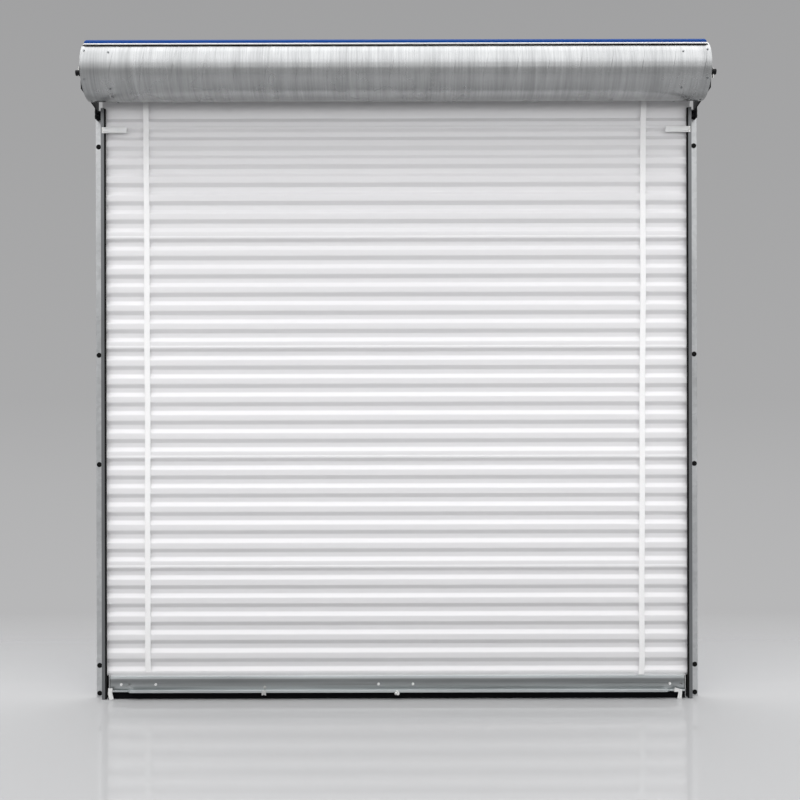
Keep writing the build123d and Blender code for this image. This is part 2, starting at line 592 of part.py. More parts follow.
def winding_wheel(side):
    """Wheel that takes the turning end of a spring, with a nose inside its coils."""
    x = side * WINDING_WHEEL_X
    face = side * (WINDING_WHEEL_X - WHEEL_HUB_LENGTH / 2)
    low, high = sorted((face, face - side * SPRING_NOSE_LENGTH))
    nose = rod_x(low, high, AXLE_FROM_WALL, AXLE_Z, SPRING_NOSE_RADIUS)
    nose -= rod_x(low - OVERRUN, high + OVERRUN, AXLE_FROM_WALL, AXLE_Z, WINDING_BORE_RADIUS)
    return wheel(x, WINDING_BORE_RADIUS, WINDING_SCREW_ANGLES) + nose


def bearing(x):
    """Sealed bearing in a drum wheel, with the groove of its seal on each face."""
    low, high = x - BEARING_WIDTH / 2, x + BEARING_WIDTH / 2
    body = rod_x(low, high, AXLE_FROM_WALL, AXLE_Z, BEARING_RADIUS)
    body -= rod_x(low - OVERRUN, high + OVERRUN, AXLE_FROM_WALL, AXLE_Z, AXLE_RADIUS + FIT_CLEARANCE)
    groove_outer = BEARING_RADIUS - BEARING_GROOVE_MARGIN
    groove_inner = AXLE_RADIUS + FIT_CLEARANCE + BEARING_GROOVE_MARGIN
    for face, inward in ((low, 1), (high, -1)):
        depth = face + inward * BEARING_GROOVE_DEPTH
        groove = rod_x(face, depth, AXLE_FROM_WALL, AXLE_Z, groove_outer)
        groove -= rod_x(face - OVERRUN, face + OVERRUN, AXLE_FROM_WALL, AXLE_Z, groove_inner)
        body -= groove
    return body


def spring(side):
    """Torsion spring around the axle, wound between its anchor and the winding wheel."""
    start = at(side * SPRING_START_X, AXLE_FROM_WALL, AXLE_Z)
    path = Helix(SPRING_PITCH, SPRING_LENGTH, SPRING_MEAN_RADIUS, center=start,
                 direction=(-side, 0, 0), lefthand=side < 0)
    section = Plane(origin=path @ 0, z_dir=path % 0) * Circle(SPRING_WIRE_RADIUS)
    return sweep(section, path=path, is_frenet=True)


def spring_anchor(side):
    """Collar and nose fixed to the axle, which hold the still end of a spring."""
    face = side * (SPRING_END_X - SPRING_WIRE_RADIUS - SPRING_END_GAP)
    low, high = sorted((face, face - side * ANCHOR_COLLAR_WIDTH))
    body = rod_x(low, high, AXLE_FROM_WALL, AXLE_Z, ANCHOR_COLLAR_RADIUS)
    nose_low, nose_high = sorted((face, face + side * SPRING_NOSE_LENGTH))
    body += rod_x(nose_low, nose_high, AXLE_FROM_WALL, AXLE_Z, SPRING_NOSE_RADIUS)
    body -= rod_x(low - SPRING_LENGTH, high + SPRING_LENGTH, AXLE_FROM_WALL, AXLE_Z,
                  AXLE_RADIUS + FIT_CLEARANCE / 2)
    return body - set_screw_hole((low + high) / 2, ANCHOR_COLLAR_RADIUS)


def anchor_set_screw(side):
    """Set screw of a spring anchor."""
    face = side * (SPRING_END_X - SPRING_WIRE_RADIUS - SPRING_END_GAP)
    return set_screw(face - side * ANCHOR_COLLAR_WIDTH / 2, ANCHOR_COLLAR_RADIUS)


def wrap_stations():
    """Angle and height over the valley where the wrapped sheet changes direction."""
    degrees = 180 / math.pi / WRAP_MEAN_RADIUS
    steps = [(CREST_HEIGHT, 1), (SLOPE_HEIGHT, 0), (VALLEY_HEIGHT, 0), (SLOPE_HEIGHT, 1)]
    stations = [(WRAP_FRONT_ANGLE, 1)]
    index = 0
    while stations[-1][0] < WRAP_REAR_ANGLE:
        length, level = steps[index % len(steps)]
        angle = min(stations[-1][0] + length * degrees, WRAP_REAR_ANGLE)
        stations.append((angle, level))
        index += 1
    return stations


def around(x, angle, radius):
    """A point around the axle, at an angle above the front."""
    turn = math.radians(angle)
    return Vector(x, AXLE_Y - radius * math.cos(turn), AXLE_Z + radius * math.sin(turn))


def wrap_edges(x, inset):
    """Edges of one face of the wrapped sheet, a distance inside its outer face."""
    edges = []
    stations = wrap_stations()
    for (angle, level), (next_angle, next_level) in zip(stations, stations[1:]):
        lift = WAVE_DEPTH - SHEET_THICKNESS
        radius = WRAP_INNER_RADIUS + SHEET_THICKNESS + level * lift - inset
        next_radius = WRAP_INNER_RADIUS + SHEET_THICKNESS + next_level * lift - inset
        start = around(x, angle, radius)
        end = around(x, next_angle, next_radius)
        if level == next_level:
            middle = around(x, (angle + next_angle) / 2, radius)
            edges.append(Edge.make_three_point_arc(start, middle, end))
        else:
            edges.append(Edge.make_line(start, end))
    return edges


def curtain_wrap():
    """The end of the curtain that stays on the barrel when the door is closed."""
    outer = wrap_edges(-CURTAIN_HALF_WIDTH, 0)
    inner = wrap_edges(-CURTAIN_HALF_WIDTH, SHEET_THICKNESS)
    front = Edge.make_line(inner[0] @ 0, outer[0] @ 0)
    rear = Edge.make_line(outer[-1] @ 1, inner[-1] @ 1)
    outline = Wire([*outer, rear, *inner, front])
    body = Solid.extrude(Face(outline), Vector(2 * CURTAIN_HALF_WIDTH, 0, 0))
    for x in clamp_screw_places():
        body -= screw_cut(x, first_valley())
    return body


def edge_trim():
    """White trim on the end of the wrapped sheet."""
    degrees = 180 / math.pi / WRAP_OUTER_RADIUS
    start = WRAP_FRONT_ANGLE - EDGE_TRIM_WIDTH * degrees
    corners = [
        around(-CURTAIN_HALF_WIDTH, start, WRAP_OUTER_RADIUS),
        around(-CURTAIN_HALF_WIDTH, WRAP_FRONT_ANGLE, WRAP_OUTER_RADIUS),
        around(-CURTAIN_HALF_WIDTH, WRAP_FRONT_ANGLE, WRAP_OUTER_RADIUS - EDGE_TRIM_DROP),
        around(-CURTAIN_HALF_WIDTH, start, WRAP_OUTER_RADIUS - EDGE_TRIM_DROP),
    ]
    wire = Wire.make_polygon(corners, close=True)
    return Solid.extrude(Face(wire), Vector(2 * CURTAIN_HALF_WIDTH, 0, 0))


def first_valley():
    """Middle angle of the valley nearest the end of the wrap."""
    stations = wrap_stations()
    return (stations[2][0] + stations[3][0]) / 2


def clamp_screw_places():
    """X of each screw through the clamp strip."""
    reach = CURTAIN_HALF_WIDTH - CLAMP_SCREW_EDGE_DISTANCE
    step = 2 * reach / (CLAMP_SCREW_COUNT - 1)
    return [step * index - reach for index in range(CLAMP_SCREW_COUNT)]


def clamp_strip():
    """Flat strip that clamps the sheet to the barrel along its first valley."""
    seat = WRAP_INNER_RADIUS + SHEET_THICKNESS
    strip = Box(2 * CURTAIN_HALF_WIDTH, CLAMP_STRIP_WIDTH, CLAMP_STRIP_THICKNESS)
    body = on_axle(0, first_valley(), seat + CLAMP_STRIP_THICKNESS / 2, strip)
    for x in clamp_screw_places():
        body -= screw_cut(x, first_valley())
    return body


def clamp_screw(x):
    """Screw through the clamp strip and the sheet into the barrel."""
    seat = WRAP_INNER_RADIUS + SHEET_THICKNESS + CLAMP_STRIP_THICKNESS
    return barrel_screw(x, first_valley(), seat, BARREL_RADIUS - BARREL_WALL)


def sheet_face(low_z, high_z):
    """Corners (depth, z) of the barrel side of the curtain between two heights, from the top."""
    corners = []
    top = LOWEST_CREST_TOP_Z
    count = PITCHES_BELOW_LOWEST_SEAM + PITCHES_PER_SHEET * SHEET_COUNT
    for index in range(count, -1, -1):
        crest_top = top + PITCH * index
        corners.append((VALLEY_FROM_WALL, crest_top + SLOPE_HEIGHT))
        corners.append((CREST_FROM_WALL, crest_top))
        corners.append((CREST_FROM_WALL, crest_top - CREST_HEIGHT))
        corners.append((VALLEY_FROM_WALL, crest_top - CREST_HEIGHT - SLOPE_HEIGHT))
    inside = [(depth, z) for depth, z in corners if low_z < z < high_z]
    return [(CREST_FROM_WALL, high_z), *inside, (CREST_FROM_WALL, low_z)]


def sheet_outline(face):
    """The face and, behind it by the sheet's thickness, the same corners back again."""
    back = [(depth - SHEET_THICKNESS, z) for depth, z in reversed(face)]
    return [*face, *back]


def curtain_sheet(index):
    """One of the seamed sheets, counted from the floor. The lowest runs down into the bottom bar."""
    high = SEAM_HEIGHTS[index]
    if index > 0:
        face = sheet_face(SEAM_HEIGHTS[index - 1], high)
    else:
        bend = BAR_TOP_Z + BAR_WALL
        middle = CENTRE_FROM_WALL + SHEET_THICKNESS / 2
        face = sheet_face(bend + TONGUE_BEND_HEIGHT, high)
        face += [(middle, bend), (middle, BAR_TOP_Z - TONGUE_DEPTH_IN_BAR)]
    body = across(sheet_outline(face), -CURTAIN_HALF_WIDTH, CURTAIN_HALF_WIDTH)
    body += block(-CURTAIN_HALF_WIDTH, CURTAIN_HALF_WIDTH, CREST_FROM_WALL - SHEET_THICKNESS,
                  CREST_FROM_WALL + HEM_THICKNESS, high - HEM_HEIGHT, high)
    if index == 0:
        for side in (-1, 1):
            body -= sided(side, BAR_HALF_LENGTH - BAR_WALL, CURTAIN_HALF_WIDTH + OVERRUN, 0,
                          GUIDE_DEPTH, BAR_BOTTOM_Z, BAR_TOP_Z + BAR_WALL / 2)
        body -= bar_cuts()
    return body


def leader_foot():
    """Corners (depth, z) of the leader between the top seam and its flat part."""
    seam = SEAM_HEIGHTS[-1]
    slope_low = seam + CREST_HEIGHT - HEM_HEIGHT
    return [(VALLEY_FROM_WALL, slope_low + SLOPE_HEIGHT), (CREST_FROM_WALL, slope_low),
            (CREST_FROM_WALL, seam)]


def curtain_leader():
    """Plain top of the curtain, from the top seam to the back of the barrel."""
    top_depth = AXLE_FROM_WALL - WRAP_INNER_RADIUS
    face = [(top_depth, AXLE_Z), *leader_foot()]
    return across(sheet_outline(face), -CURTAIN_HALF_WIDTH, CURTAIN_HALF_WIDTH)


def curtain_tape(x, bottom):
    """Wear tape that hangs over the seams of the curtain."""
    back = CREST_FROM_WALL + HEM_THICKNESS
    return block(x - TAPE_WIDTH / 2, x + TAPE_WIDTH / 2, back, back + TAPE_THICKNESS,
                 bottom, SEAM_HEIGHTS[-1])


def leader_tape(x):
    """The same tape on the leader, up to the barrel."""
    crest_top, seam = leader_foot()[1:]
    top_depth = AXLE_FROM_WALL - WRAP_INNER_RADIUS - HEM_THICKNESS
    line = [(top_depth, AXLE_Z - OVERRUN), crest_top, seam]
    back = [(depth + HEM_THICKNESS, z) for depth, z in line]
    front = [(depth + TAPE_THICKNESS, z) for depth, z in back]
    return across([*front, *reversed(back)], x - TAPE_WIDTH / 2, x + TAPE_WIDTH / 2)


def handle_bolt_places():
    """X of each bolt that also holds a lift handle."""
    half = HANDLE_SPACING / 2
    return [middle + step for middle in (LEFT_HANDLE_X, CENTRE_HANDLE_X) for step in (-half, half)]


def bar_cuts():
    """Cutters for the bolts and the spare holes of the bottom bar."""
    cuts = Part()
    for x in (*handle_bolt_places(), RIGHT_BOLT_X):
        cuts += rod_y(x, -OVERRUN, GUIDE_DEPTH, BAR_BOLT_Z, BAR_BOLT_RADIUS + BOLT_HOLE_CLEARANCE)
    for x in BAR_SPARE_HOLES_X:
        cuts += rod_y(x, -OVERRUN, GUIDE_DEPTH, BAR_BOLT_Z, BAR_SPARE_HOLE_RADIUS)
    return cuts


def flange_outline():
    """Plan (x, depth) of the inner flange, narrow at both ends, with slanted steps."""
    step = FLANGE_REACH - END_FLANGE_REACH
    return [
        (-BAR_HALF_LENGTH, BAR_FRONT_FROM_WALL),
        (-BAR_HALF_LENGTH, END_FLANGE_FRONT_FROM_WALL),
        (FLANGE_LEFT_END_X - step, END_FLANGE_FRONT_FROM_WALL),
        (FLANGE_LEFT_END_X, FLANGE_FRONT_FROM_WALL),
        (FLANGE_RIGHT_END_X, FLANGE_FRONT_FROM_WALL),
        (FLANGE_RIGHT_END_X + step, END_FLANGE_FRONT_FROM_WALL),
        (BAR_HALF_LENGTH, END_FLANGE_FRONT_FROM_WALL),
        (BAR_HALF_LENGTH, BAR_FRONT_FROM_WALL),
    ]


def upright(points, z_low, z_high):
    """A plan of (x, depth from the wall) points drawn up from one height to another."""
    wire = Wire.make_polygon([at(x, depth, z_low) for x, depth in points], close=True)
    return Solid.extrude(Face(wire), Vector(0, 0, z_high - z_low))


def bottom_bar():
    """Hollow bar with a mouth for the sheet, a groove for the seal and an inner flange."""
    back, front = BAR_BACK_FROM_WALL, BAR_FRONT_FROM_WALL
    low, high = -BAR_HALF_LENGTH, BAR_HALF_LENGTH
    step = FLANGE_REACH - END_FLANGE_REACH
    mouth = SHEET_THICKNESS / 2 + FIT_CLEARANCE
    groove_low = BAR_BOTTOM_Z + BAR_WALL
    groove_high = groove_low + SEAL_GROOVE_HEIGHT
    body = block(low, high, back, front, BAR_BOTTOM_Z, BAR_TOP_Z)
    body += block(low, high, front, front + BAR_LIP_REACH, BAR_TOP_Z - BAR_WALL, BAR_TOP_Z)
    body += upright(flange_outline(), BAR_BOTTOM_Z, groove_low)
    body += block(FLANGE_LEFT_END_X, FLANGE_RIGHT_END_X, FLANGE_FRONT_FROM_WALL - BAR_WALL,
                  FLANGE_FRONT_FROM_WALL, BAR_BOTTOM_Z, BAR_BOTTOM_Z + FLANGE_LIP_HEIGHT)
    for end_low, end_high in ((low, FLANGE_LEFT_END_X - step), (FLANGE_RIGHT_END_X + step, high)):
        body += block(end_low, end_high, END_FLANGE_FRONT_FROM_WALL - BAR_WALL,
                      END_FLANGE_FRONT_FROM_WALL, BAR_BOTTOM_Z, BAR_BOTTOM_Z + END_FLANGE_LIP_HEIGHT)
    body -= block(low - OVERRUN, high + OVERRUN, back + BAR_WALL, front - BAR_WALL,
                  groove_high + BAR_WALL, BAR_TOP_Z - BAR_WALL)
    body -= block(low - OVERRUN, high + OVERRUN, back + BAR_WALL, front - BAR_WALL,
                  groove_low, groove_high)
    body -= block(low - OVERRUN, high + OVERRUN, CENTRE_FROM_WALL - mouth,
                  CENTRE_FROM_WALL + mouth, BAR_TOP_Z - 2 * BAR_WALL, BAR_TOP_Z + BAR_WALL)
    body -= block(low - OVERRUN, high + OVERRUN, CENTRE_FROM_WALL - SEAL_GROOVE_MOUTH / 2,
                  CENTRE_FROM_WALL + SEAL_GROOVE_MOUTH / 2, BAR_BOTTOM_Z - BAR_WALL,
                  groove_low + BAR_WALL)
    return body - bar_cuts()


def bottom_seal():
    """Hollow rubber seal with its head in the bar's groove and a flat foot on the floor."""
    low, high = -BAR_HALF_LENGTH, BAR_HALF_LENGTH
    groove_low = BAR_BOTTOM_Z + BAR_WALL
    stem = SEAL_GROOVE_MOUTH / 2 - SEAL_CLEARANCE
    head = WAVE_DEPTH / 2 - SEAL_CLEARANCE
    half = SEAL_WIDTH / 2
    chamfer = SEAL_WALL
    bulb = [
        (CENTRE_FROM_WALL - half + chamfer, 0),
        (CENTRE_FROM_WALL + half - chamfer, 0),
        (CENTRE_FROM_WALL + half, chamfer),
        (CENTRE_FROM_WALL + half, BAR_BOTTOM_Z),
        (CENTRE_FROM_WALL - half, BAR_BOTTOM_Z),
        (CENTRE_FROM_WALL - half, chamfer),
    ]
    body = across(bulb, low, high)
    body -= block(low - OVERRUN, high + OVERRUN, CENTRE_FROM_WALL - half + SEAL_WALL,
                  CENTRE_FROM_WALL + half - SEAL_WALL, SEAL_WALL, BAR_BOTTOM_Z - SEAL_WALL)
    body += block(low, high, CENTRE_FROM_WALL - stem, CENTRE_FROM_WALL + stem,
                  BAR_BOTTOM_Z - SEAL_WALL, groove_low + SEAL_WALL)
    body += block(low, high, CENTRE_FROM_WALL - head, CENTRE_FROM_WALL + head,
                  groove_low, groove_low + SEAL_GROOVE_HEIGHT - SEAL_CLEARANCE)
    return body


def bar_bolt(x, grip_back):
    """Round-headed bolt through the bottom bar, its thread end past a nut on the outside."""
    end = grip_back - BAR_NUT_HEIGHT - BOLT_END_LENGTH
    bolt = rod_y(x, end, BAR_FRONT_FROM_WALL, BAR_BOLT_Z, BAR_BOLT_RADIUS)
    head = rod_y(x, BAR_FRONT_FROM_WALL, BAR_FRONT_FROM_WALL + BAR_BOLT_HEAD_HEIGHT, BAR_BOLT_Z,
                 BAR_BOLT_HEAD_RADIUS)
    return bolt + head


def bar_nut(x, grip_back):
    """Hexagon nut on the outside of the bottom bar or of a handle's foot."""
    nut = hexagon_y(x, grip_back - BAR_NUT_HEIGHT, grip_back, BAR_BOLT_Z, BAR_NUT_RADIUS)
    return nut - rod_y(x, grip_back - OVERRUN, grip_back + OVERRUN, BAR_BOLT_Z,
                       BAR_BOLT_RADIUS + SEAT_CLEARANCE)


def bar_bolt_grips():
    """X of each bolt with the depth of the face that its nut seats on."""
    grips = [(x, BAR_BACK_FROM_WALL - HANDLE_METAL) for x in handle_bolt_places()]
    return [*grips, (RIGHT_BOLT_X, BAR_BACK_FROM_WALL)]


def lift_handle(x):
    """Bent strap on the outside of the bottom bar."""
    back = BAR_BACK_FROM_WALL
    foot_end = HANDLE_SPACING / 2 + HANDLE_FOOT_LENGTH / 2
    leg_outer = HANDLE_SPACING / 2 - HANDLE_FOOT_LENGTH / 2
    leg_inner = leg_outer - HANDLE_METAL
    half_plan = [
        (foot_end, back),
        (leg_inner, back),
        (leg_inner, back - HANDLE_REACH + HANDLE_METAL),
    ]
    half_back = [
        (leg_outer, back - HANDLE_REACH),
        (leg_outer, back - HANDLE_METAL),
        (foot_end, back - HANDLE_METAL),
    ]
    plan = [
        *half_plan,
        *[(-place, depth) for place, depth in reversed(half_plan)],
        *[(-place, depth) for place, depth in reversed(half_back)],
        *half_back,
    ]
    low = BAR_BOLT_Z - HANDLE_WIDTH / 2
    body = upright([(x + place, depth) for place, depth in plan], low, low + HANDLE_WIDTH)
    grip = back - HANDLE_REACH
    outer_bend, inner_bend = HANDLE_BEND_RADIUS, HANDLE_BEND_RADIUS - HANDLE_METAL
    for depth, radius in ((grip, outer_bend), (grip + HANDLE_METAL, inner_bend)):
        level = WALL_Y - depth
        bends = [edge for edge in body.edges().filter_by(Axis.Z)
                 if abs(edge.center().Y - level) < SEAT_CLEARANCE]
        body = fillet(bends, radius)
    for place in (x - HANDLE_SPACING / 2, x + HANDLE_SPACING / 2):
        body -= rod_y(place, back - OVERRUN, back + OVERRUN, BAR_BOLT_Z,
                      BAR_BOLT_RADIUS + BOLT_HOLE_CLEARANCE)
    return body


def rope_knot():
    """Knot of the pull rope, three lobes against the lip of the flange."""
    knot = Part()
    for x, rise in KNOT_LOBE_RISES:
        centre = at(x, FLANGE_FRONT_FROM_WALL + KNOT_LOBE_RADIUS - KNOT_LOBE_SINK,
                    BAR_BOTTOM_Z + rise)
        knot += Pos(*centre) * Sphere(KNOT_LOBE_RADIUS)
    reach = KNOT_LOBE_RADIUS + OVERRUN
    knot -= block(-reach, reach, 0, FLANGE_FRONT_FROM_WALL, 0, BAR_TOP_Z)
    return knot


def flange_clip():
    """Small clip on the lip of the flange, with two points below it."""
    bottom = BAR_BOTTOM_Z - CLIP_DROP
    outline = [
        (CLIP_X - CLIP_HALF_WIDTH, BAR_BOTTOM_Z + FLANGE_LIP_HEIGHT),
        (CLIP_X + CLIP_HALF_WIDTH, BAR_BOTTOM_Z + FLANGE_LIP_HEIGHT),
        (CLIP_X + CLIP_HALF_WIDTH, bottom),
        (CLIP_X, bottom + CLIP_NOTCH_HEIGHT),
        (CLIP_X - CLIP_HALF_WIDTH, bottom),
    ]
    return facing(outline, FLANGE_FRONT_FROM_WALL, FLANGE_FRONT_FROM_WALL + CLIP_METAL)


def clip_screw():
    """Screw head on the bar behind the clip."""
    return rod_y(CLIP_X, BAR_FRONT_FROM_WALL, BAR_FRONT_FROM_WALL + CLIP_SCREW_HEIGHT,
                 BAR_BOTTOM_Z + CLIP_SCREW_RISE, CLIP_SCREW_RADIUS)


def end_tab(side, steps):
    """Plastic tab in front of an end of the flange, a strip of one width along its steps."""
    points = [(side * (BAR_HALF_LENGTH - inset), BAR_BOTTOM_Z + rise) for inset, rise in steps]
    left, right = [], []
    for index, (x, z) in enumerate(points):
        before = points[max(index - 1, 0)]
        after = points[min(index + 1, len(points) - 1)]
        along = Vector(after[0] - before[0], after[1] - before[1]).normalized()
        reach = TAB_WIDTH / 2
        left.append((x - along.Y * reach, max(z + along.X * reach, 0)))
        right.append((x + along.Y * reach, max(z - along.X * reach, 0)))
    front = END_FLANGE_FRONT_FROM_WALL
    return facing([*left, *reversed(right)], front, front + TAB_METAL)


# Fixed to the wall
SIDES = (-1, 1)
SIDE_NAMES = {-1: "left", 1: "right"}
for side in SIDES:
    name = SIDE_NAMES[side]
    save(f"guide_{name}", guide(side))
    save(f"wear_strips_{name}", *wear_strips(side))
    save(f"bracket_{name}", bracket(side))
    save(f"stop_bar_{name}", stop_bar(side))
    save(f"spring_{name}", spring(side))
save("bracket_cleats", *[cleat(side) for side in SIDES])
save("cleat_bolts", *[cleat_bolt(side, z) for side in SIDES for z in CLEAT_BOLT_HEIGHTS])
save("cleat_nuts", *[cleat_nut(side, z) for side in SIDES for z in CLEAT_BOLT_HEIGHTS])
save("axle", axle())
save("axle_end_pins", *[axle_end_pin(side) for side in SIDES])
save("axle_collars", *[axle_collar(side) for side in SIDES])
save("collar_screws", *[set_screw(side * (BRACKET_OUTER_X + COLLAR_WIDTH / 2), COLLAR_RADIUS)
                        for side in SIDES])
save("stop_rivets", *[stop_rivet(side, z) for side in SIDES for z in stop_rivet_heights()])
save("spring_anchors", *[spring_anchor(side) for side in SIDES])
save("anchor_set_screws", *[anchor_set_screw(side) for side in SIDES])

# Turning on the axle
save("barrel_tube", barrel_tube())
save("drum_wheels", *[wheel(side * DRUM_WHEEL_X, BEARING_RADIUS + SEAT_CLEARANCE,
                            drum_screw_angles()) for side in SIDES])
save("barrel_bearings", *[bearing(side * DRUM_WHEEL_X) for side in SIDES])
save("drum_screws", *[wheel_screw(side * DRUM_WHEEL_X, angle)
                      for side in SIDES for angle in drum_screw_angles()])
save("winding_wheels", *[winding_wheel(side) for side in SIDES])
save("winding_screws", *[wheel_screw(side * WINDING_WHEEL_X, angle)
                         for side in SIDES for angle in WINDING_SCREW_ANGLES])
save("curtain_wrap", curtain_wrap())
save("wrap_edge_trim", edge_trim())
save("clamp_strip", clamp_strip())
save("clamp_screws", *[clamp_screw(x) for x in clamp_screw_places()])

# Rising with the curtain
for index in range(SHEET_COUNT):
    save(f"curtain_sheet_{index + 1}", curtain_sheet(index))
save("curtain_leader", curtain_leader())
save("curtain_tapes", curtain_tape(-TAPE_X, BAR_TOP_Z + LEFT_TAPE_ABOVE_BAR),
     curtain_tape(TAPE_X, BAR_TOP_Z + RIGHT_TAPE_ABOVE_BAR))
save("leader_tapes", leader_tape(-TAPE_X), leader_tape(TAPE_X))
save("bottom_bar", bottom_bar())
save("bottom_seal", bottom_seal())
save("bar_bolts", *[bar_bolt(x, grip) for x, grip in bar_bolt_grips()])
save("bar_nuts", *[bar_nut(x, grip) for x, grip in bar_bolt_grips()])
save("lift_handle_left", lift_handle(LEFT_HANDLE_X))
save("lift_handle_centre", lift_handle(CENTRE_HANDLE_X))
save("rope_knot", rope_knot())
save("flange_clip", flange_clip())
save("clip_screw", clip_screw())
save("end_tabs", end_tab(-1, LEFT_TAB_STEPS), end_tab(1, RIGHT_TAB_STEPS))
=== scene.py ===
"""Looks of the roll-up sheet door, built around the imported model, in metres.

Depths are counted from the wall plane towards the room, as in the part's source. Side 0 of a thin
sheet is its face towards the room or, on the barrel, its outer face, and side 1 is the other.
"""
import math

import bmesh
import bpy
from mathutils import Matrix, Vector, noise


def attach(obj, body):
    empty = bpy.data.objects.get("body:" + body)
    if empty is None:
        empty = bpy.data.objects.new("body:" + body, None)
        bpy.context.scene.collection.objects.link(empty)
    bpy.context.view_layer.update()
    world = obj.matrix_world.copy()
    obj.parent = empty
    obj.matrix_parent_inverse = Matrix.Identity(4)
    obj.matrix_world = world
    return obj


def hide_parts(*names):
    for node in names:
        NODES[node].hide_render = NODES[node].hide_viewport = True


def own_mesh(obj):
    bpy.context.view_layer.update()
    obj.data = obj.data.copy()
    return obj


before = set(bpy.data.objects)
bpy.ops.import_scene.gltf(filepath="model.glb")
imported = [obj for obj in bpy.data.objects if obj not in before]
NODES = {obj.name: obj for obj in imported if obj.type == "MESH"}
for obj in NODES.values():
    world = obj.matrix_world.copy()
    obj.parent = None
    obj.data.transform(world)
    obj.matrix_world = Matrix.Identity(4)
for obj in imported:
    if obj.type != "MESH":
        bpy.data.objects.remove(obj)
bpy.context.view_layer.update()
SIDES = ((-1, "left"), (1, "right"))

# Curtain, as in the part's source
WALL_Y = 0.142
CURTAIN_HALF_WIDTH = 1.364
CURTAIN_BOTTOM = 0.060
CURTAIN_BACK = 0.0175
SHEET_THICKNESS = 0.0006
WAVE_DEPTH = 0.013
PITCH = 0.085
SLOPE_HEIGHT = 0.018
VALLEY_HEIGHT = 0.022
CREST_HEIGHT = 0.027
LOWEST_CREST_TOP = 0.128
SHEET_COUNT = 5
PITCHES_PER_SHEET = 6
PITCHES_BELOW_LOWEST_SEAM = 5
CREST_DEPTH = CURTAIN_BACK + WAVE_DEPTH
VALLEY_DEPTH = CURTAIN_BACK + SHEET_THICKNESS
CENTRE_DEPTH = CURTAIN_BACK + WAVE_DEPTH / 2

# Hems: the folds along the sheets' top edges, which hang lower than the solids' by the drop
HEM_HEIGHT = 0.0075
HEM_THICKNESS = 0.0009
HEM_DROP = 0.007
HEM_EDGE = 0.0008

# Heights of the sheets' top edges, from the lowest up, and of the slope that starts the leader
SEAMS = [
    LOWEST_CREST_TOP + PITCH * (PITCHES_BELOW_LOWEST_SEAM + PITCHES_PER_SHEET * index)
    + VALLEY_HEIGHT + 2 * SLOPE_HEIGHT + HEM_HEIGHT
    for index in range(SHEET_COUNT)
]
LEADER_SLOPE = SEAMS[-1] + CREST_HEIGHT - HEM_HEIGHT

# Bends and unevenness of the curtain that only show up close
BEND_RADIUS = 0.011
BEND_STEPS = 5
CURTAIN_COLUMNS = 44
CURTAIN_WAVER = 0.00022
WAVER_ACROSS = 2.3
WAVER_UPWARDS = 9.0
WAVER_PLACE = 4.7
LEADER_BEND_RADIUS = 0.004
LEADER_BEND_STEPS = 4

# Bottom bar
BAR_HALF_LENGTH = 1.336
BAR_TOP = 0.104
BAR_BOTTOM = 0.036

# The curtain's tongue in the bar: heights above the bar's top, and the gap at the bar's ends
LOWEST_CREST_END = 0.0125
TONGUE_BEND = 0.0025
TONGUE_TOP = 0.002
TONGUE_CLEARANCE = 0.0025

# Tapes, by side. The lean grows downwards, over the run
TAPE_HALF_WIDTH = 0.0127
TAPE_THICKNESS = 0.0015
TAPE_X = {-1: -1.159, 1: 1.146}
TAPE_LEAN = {-1: 0.001, 1: -0.011}
TAPE_LEAN_TOP = 1.9
TAPE_LEAN_RUN = 1.4
TAPE_BOTTOMS = {-1: 0.123, 1: 0.109}
TAPE_TOP_DROP = 0.02
TAPE_TOP_CLEARANCE = 1.5 * TAPE_THICKNESS
TAPE_BEND_RADIUS = 0.01
TAPE_COLUMNS = 7
TAPE_ROWS = 150
TAPE_SWING = 0.0014
TAPE_SWING_TURNS = 2.1
TAPE_WAVER = 0.0008
TAPE_WAVER_TURNS = 7.0
TAPE_RIPPLE = 0.0003
TAPE_RIPPLE_TURNS = 31.0
TAPE_FOOT_SWING = 0.004
TAPE_FOOT_HEIGHT = 0.09
TAPE_EDGE_SHARE = 0.75
TAPE_EDGE_STEEPNESS = 4

# Rope knot: its curve, the gap where the ends come out, and how far they reach and drop
KNOT_X = -0.001
KNOT_Z = 0.036
KNOT_DEPTH = 0.0727
KNOT_SCALE = 0.0031
KNOT_SPREAD = 0.0034
KNOT_OPENING = 0.22
KNOT_STEPS = 120
KNOT_TAILS = (0.005, 0.007)
KNOT_TAIL_DROPS = (0.002, 0.003)
ROPE_RADIUS = 0.0032
ROPE_LAY = 0.0042
ROPE_STRANDS = 3
ROPE_STRAND_SHARE = 0.16
ROPE_END_SHARES = (0.72, 0.94, 1.0)
ROPE_SIDES = 24

# Barrel, and its soft dents: how deep they are, where they fade out, how they lean around the
# barrel and how close together they lie
AXLE_DEPTH = 0.176
AXLE_Z = 2.860
BARREL_RADIUS = 0.127
BARREL_WALL = 0.0012
BARREL_HALF_LENGTH = 1.385
BARREL_SIDES = 144
BARREL_COLUMNS = 300
DENT_DEPTH = 0.00028
DENT_FADE = 0.05
DENT_LEAN = 0.02
DENTS_ALONG = 9.0
DENTS_AROUND = 1.6

# Lock seam that winds along the barrel, with its edges sunk below the skin
LOCK_PITCH = 0.137
LOCK_HALF_WIDTH = 0.004
LOCK_EDGE = 0.0015
LOCK_HEIGHT = 0.0003
LOCK_ROOT = 0.0004
LOCK_SIDES = 96

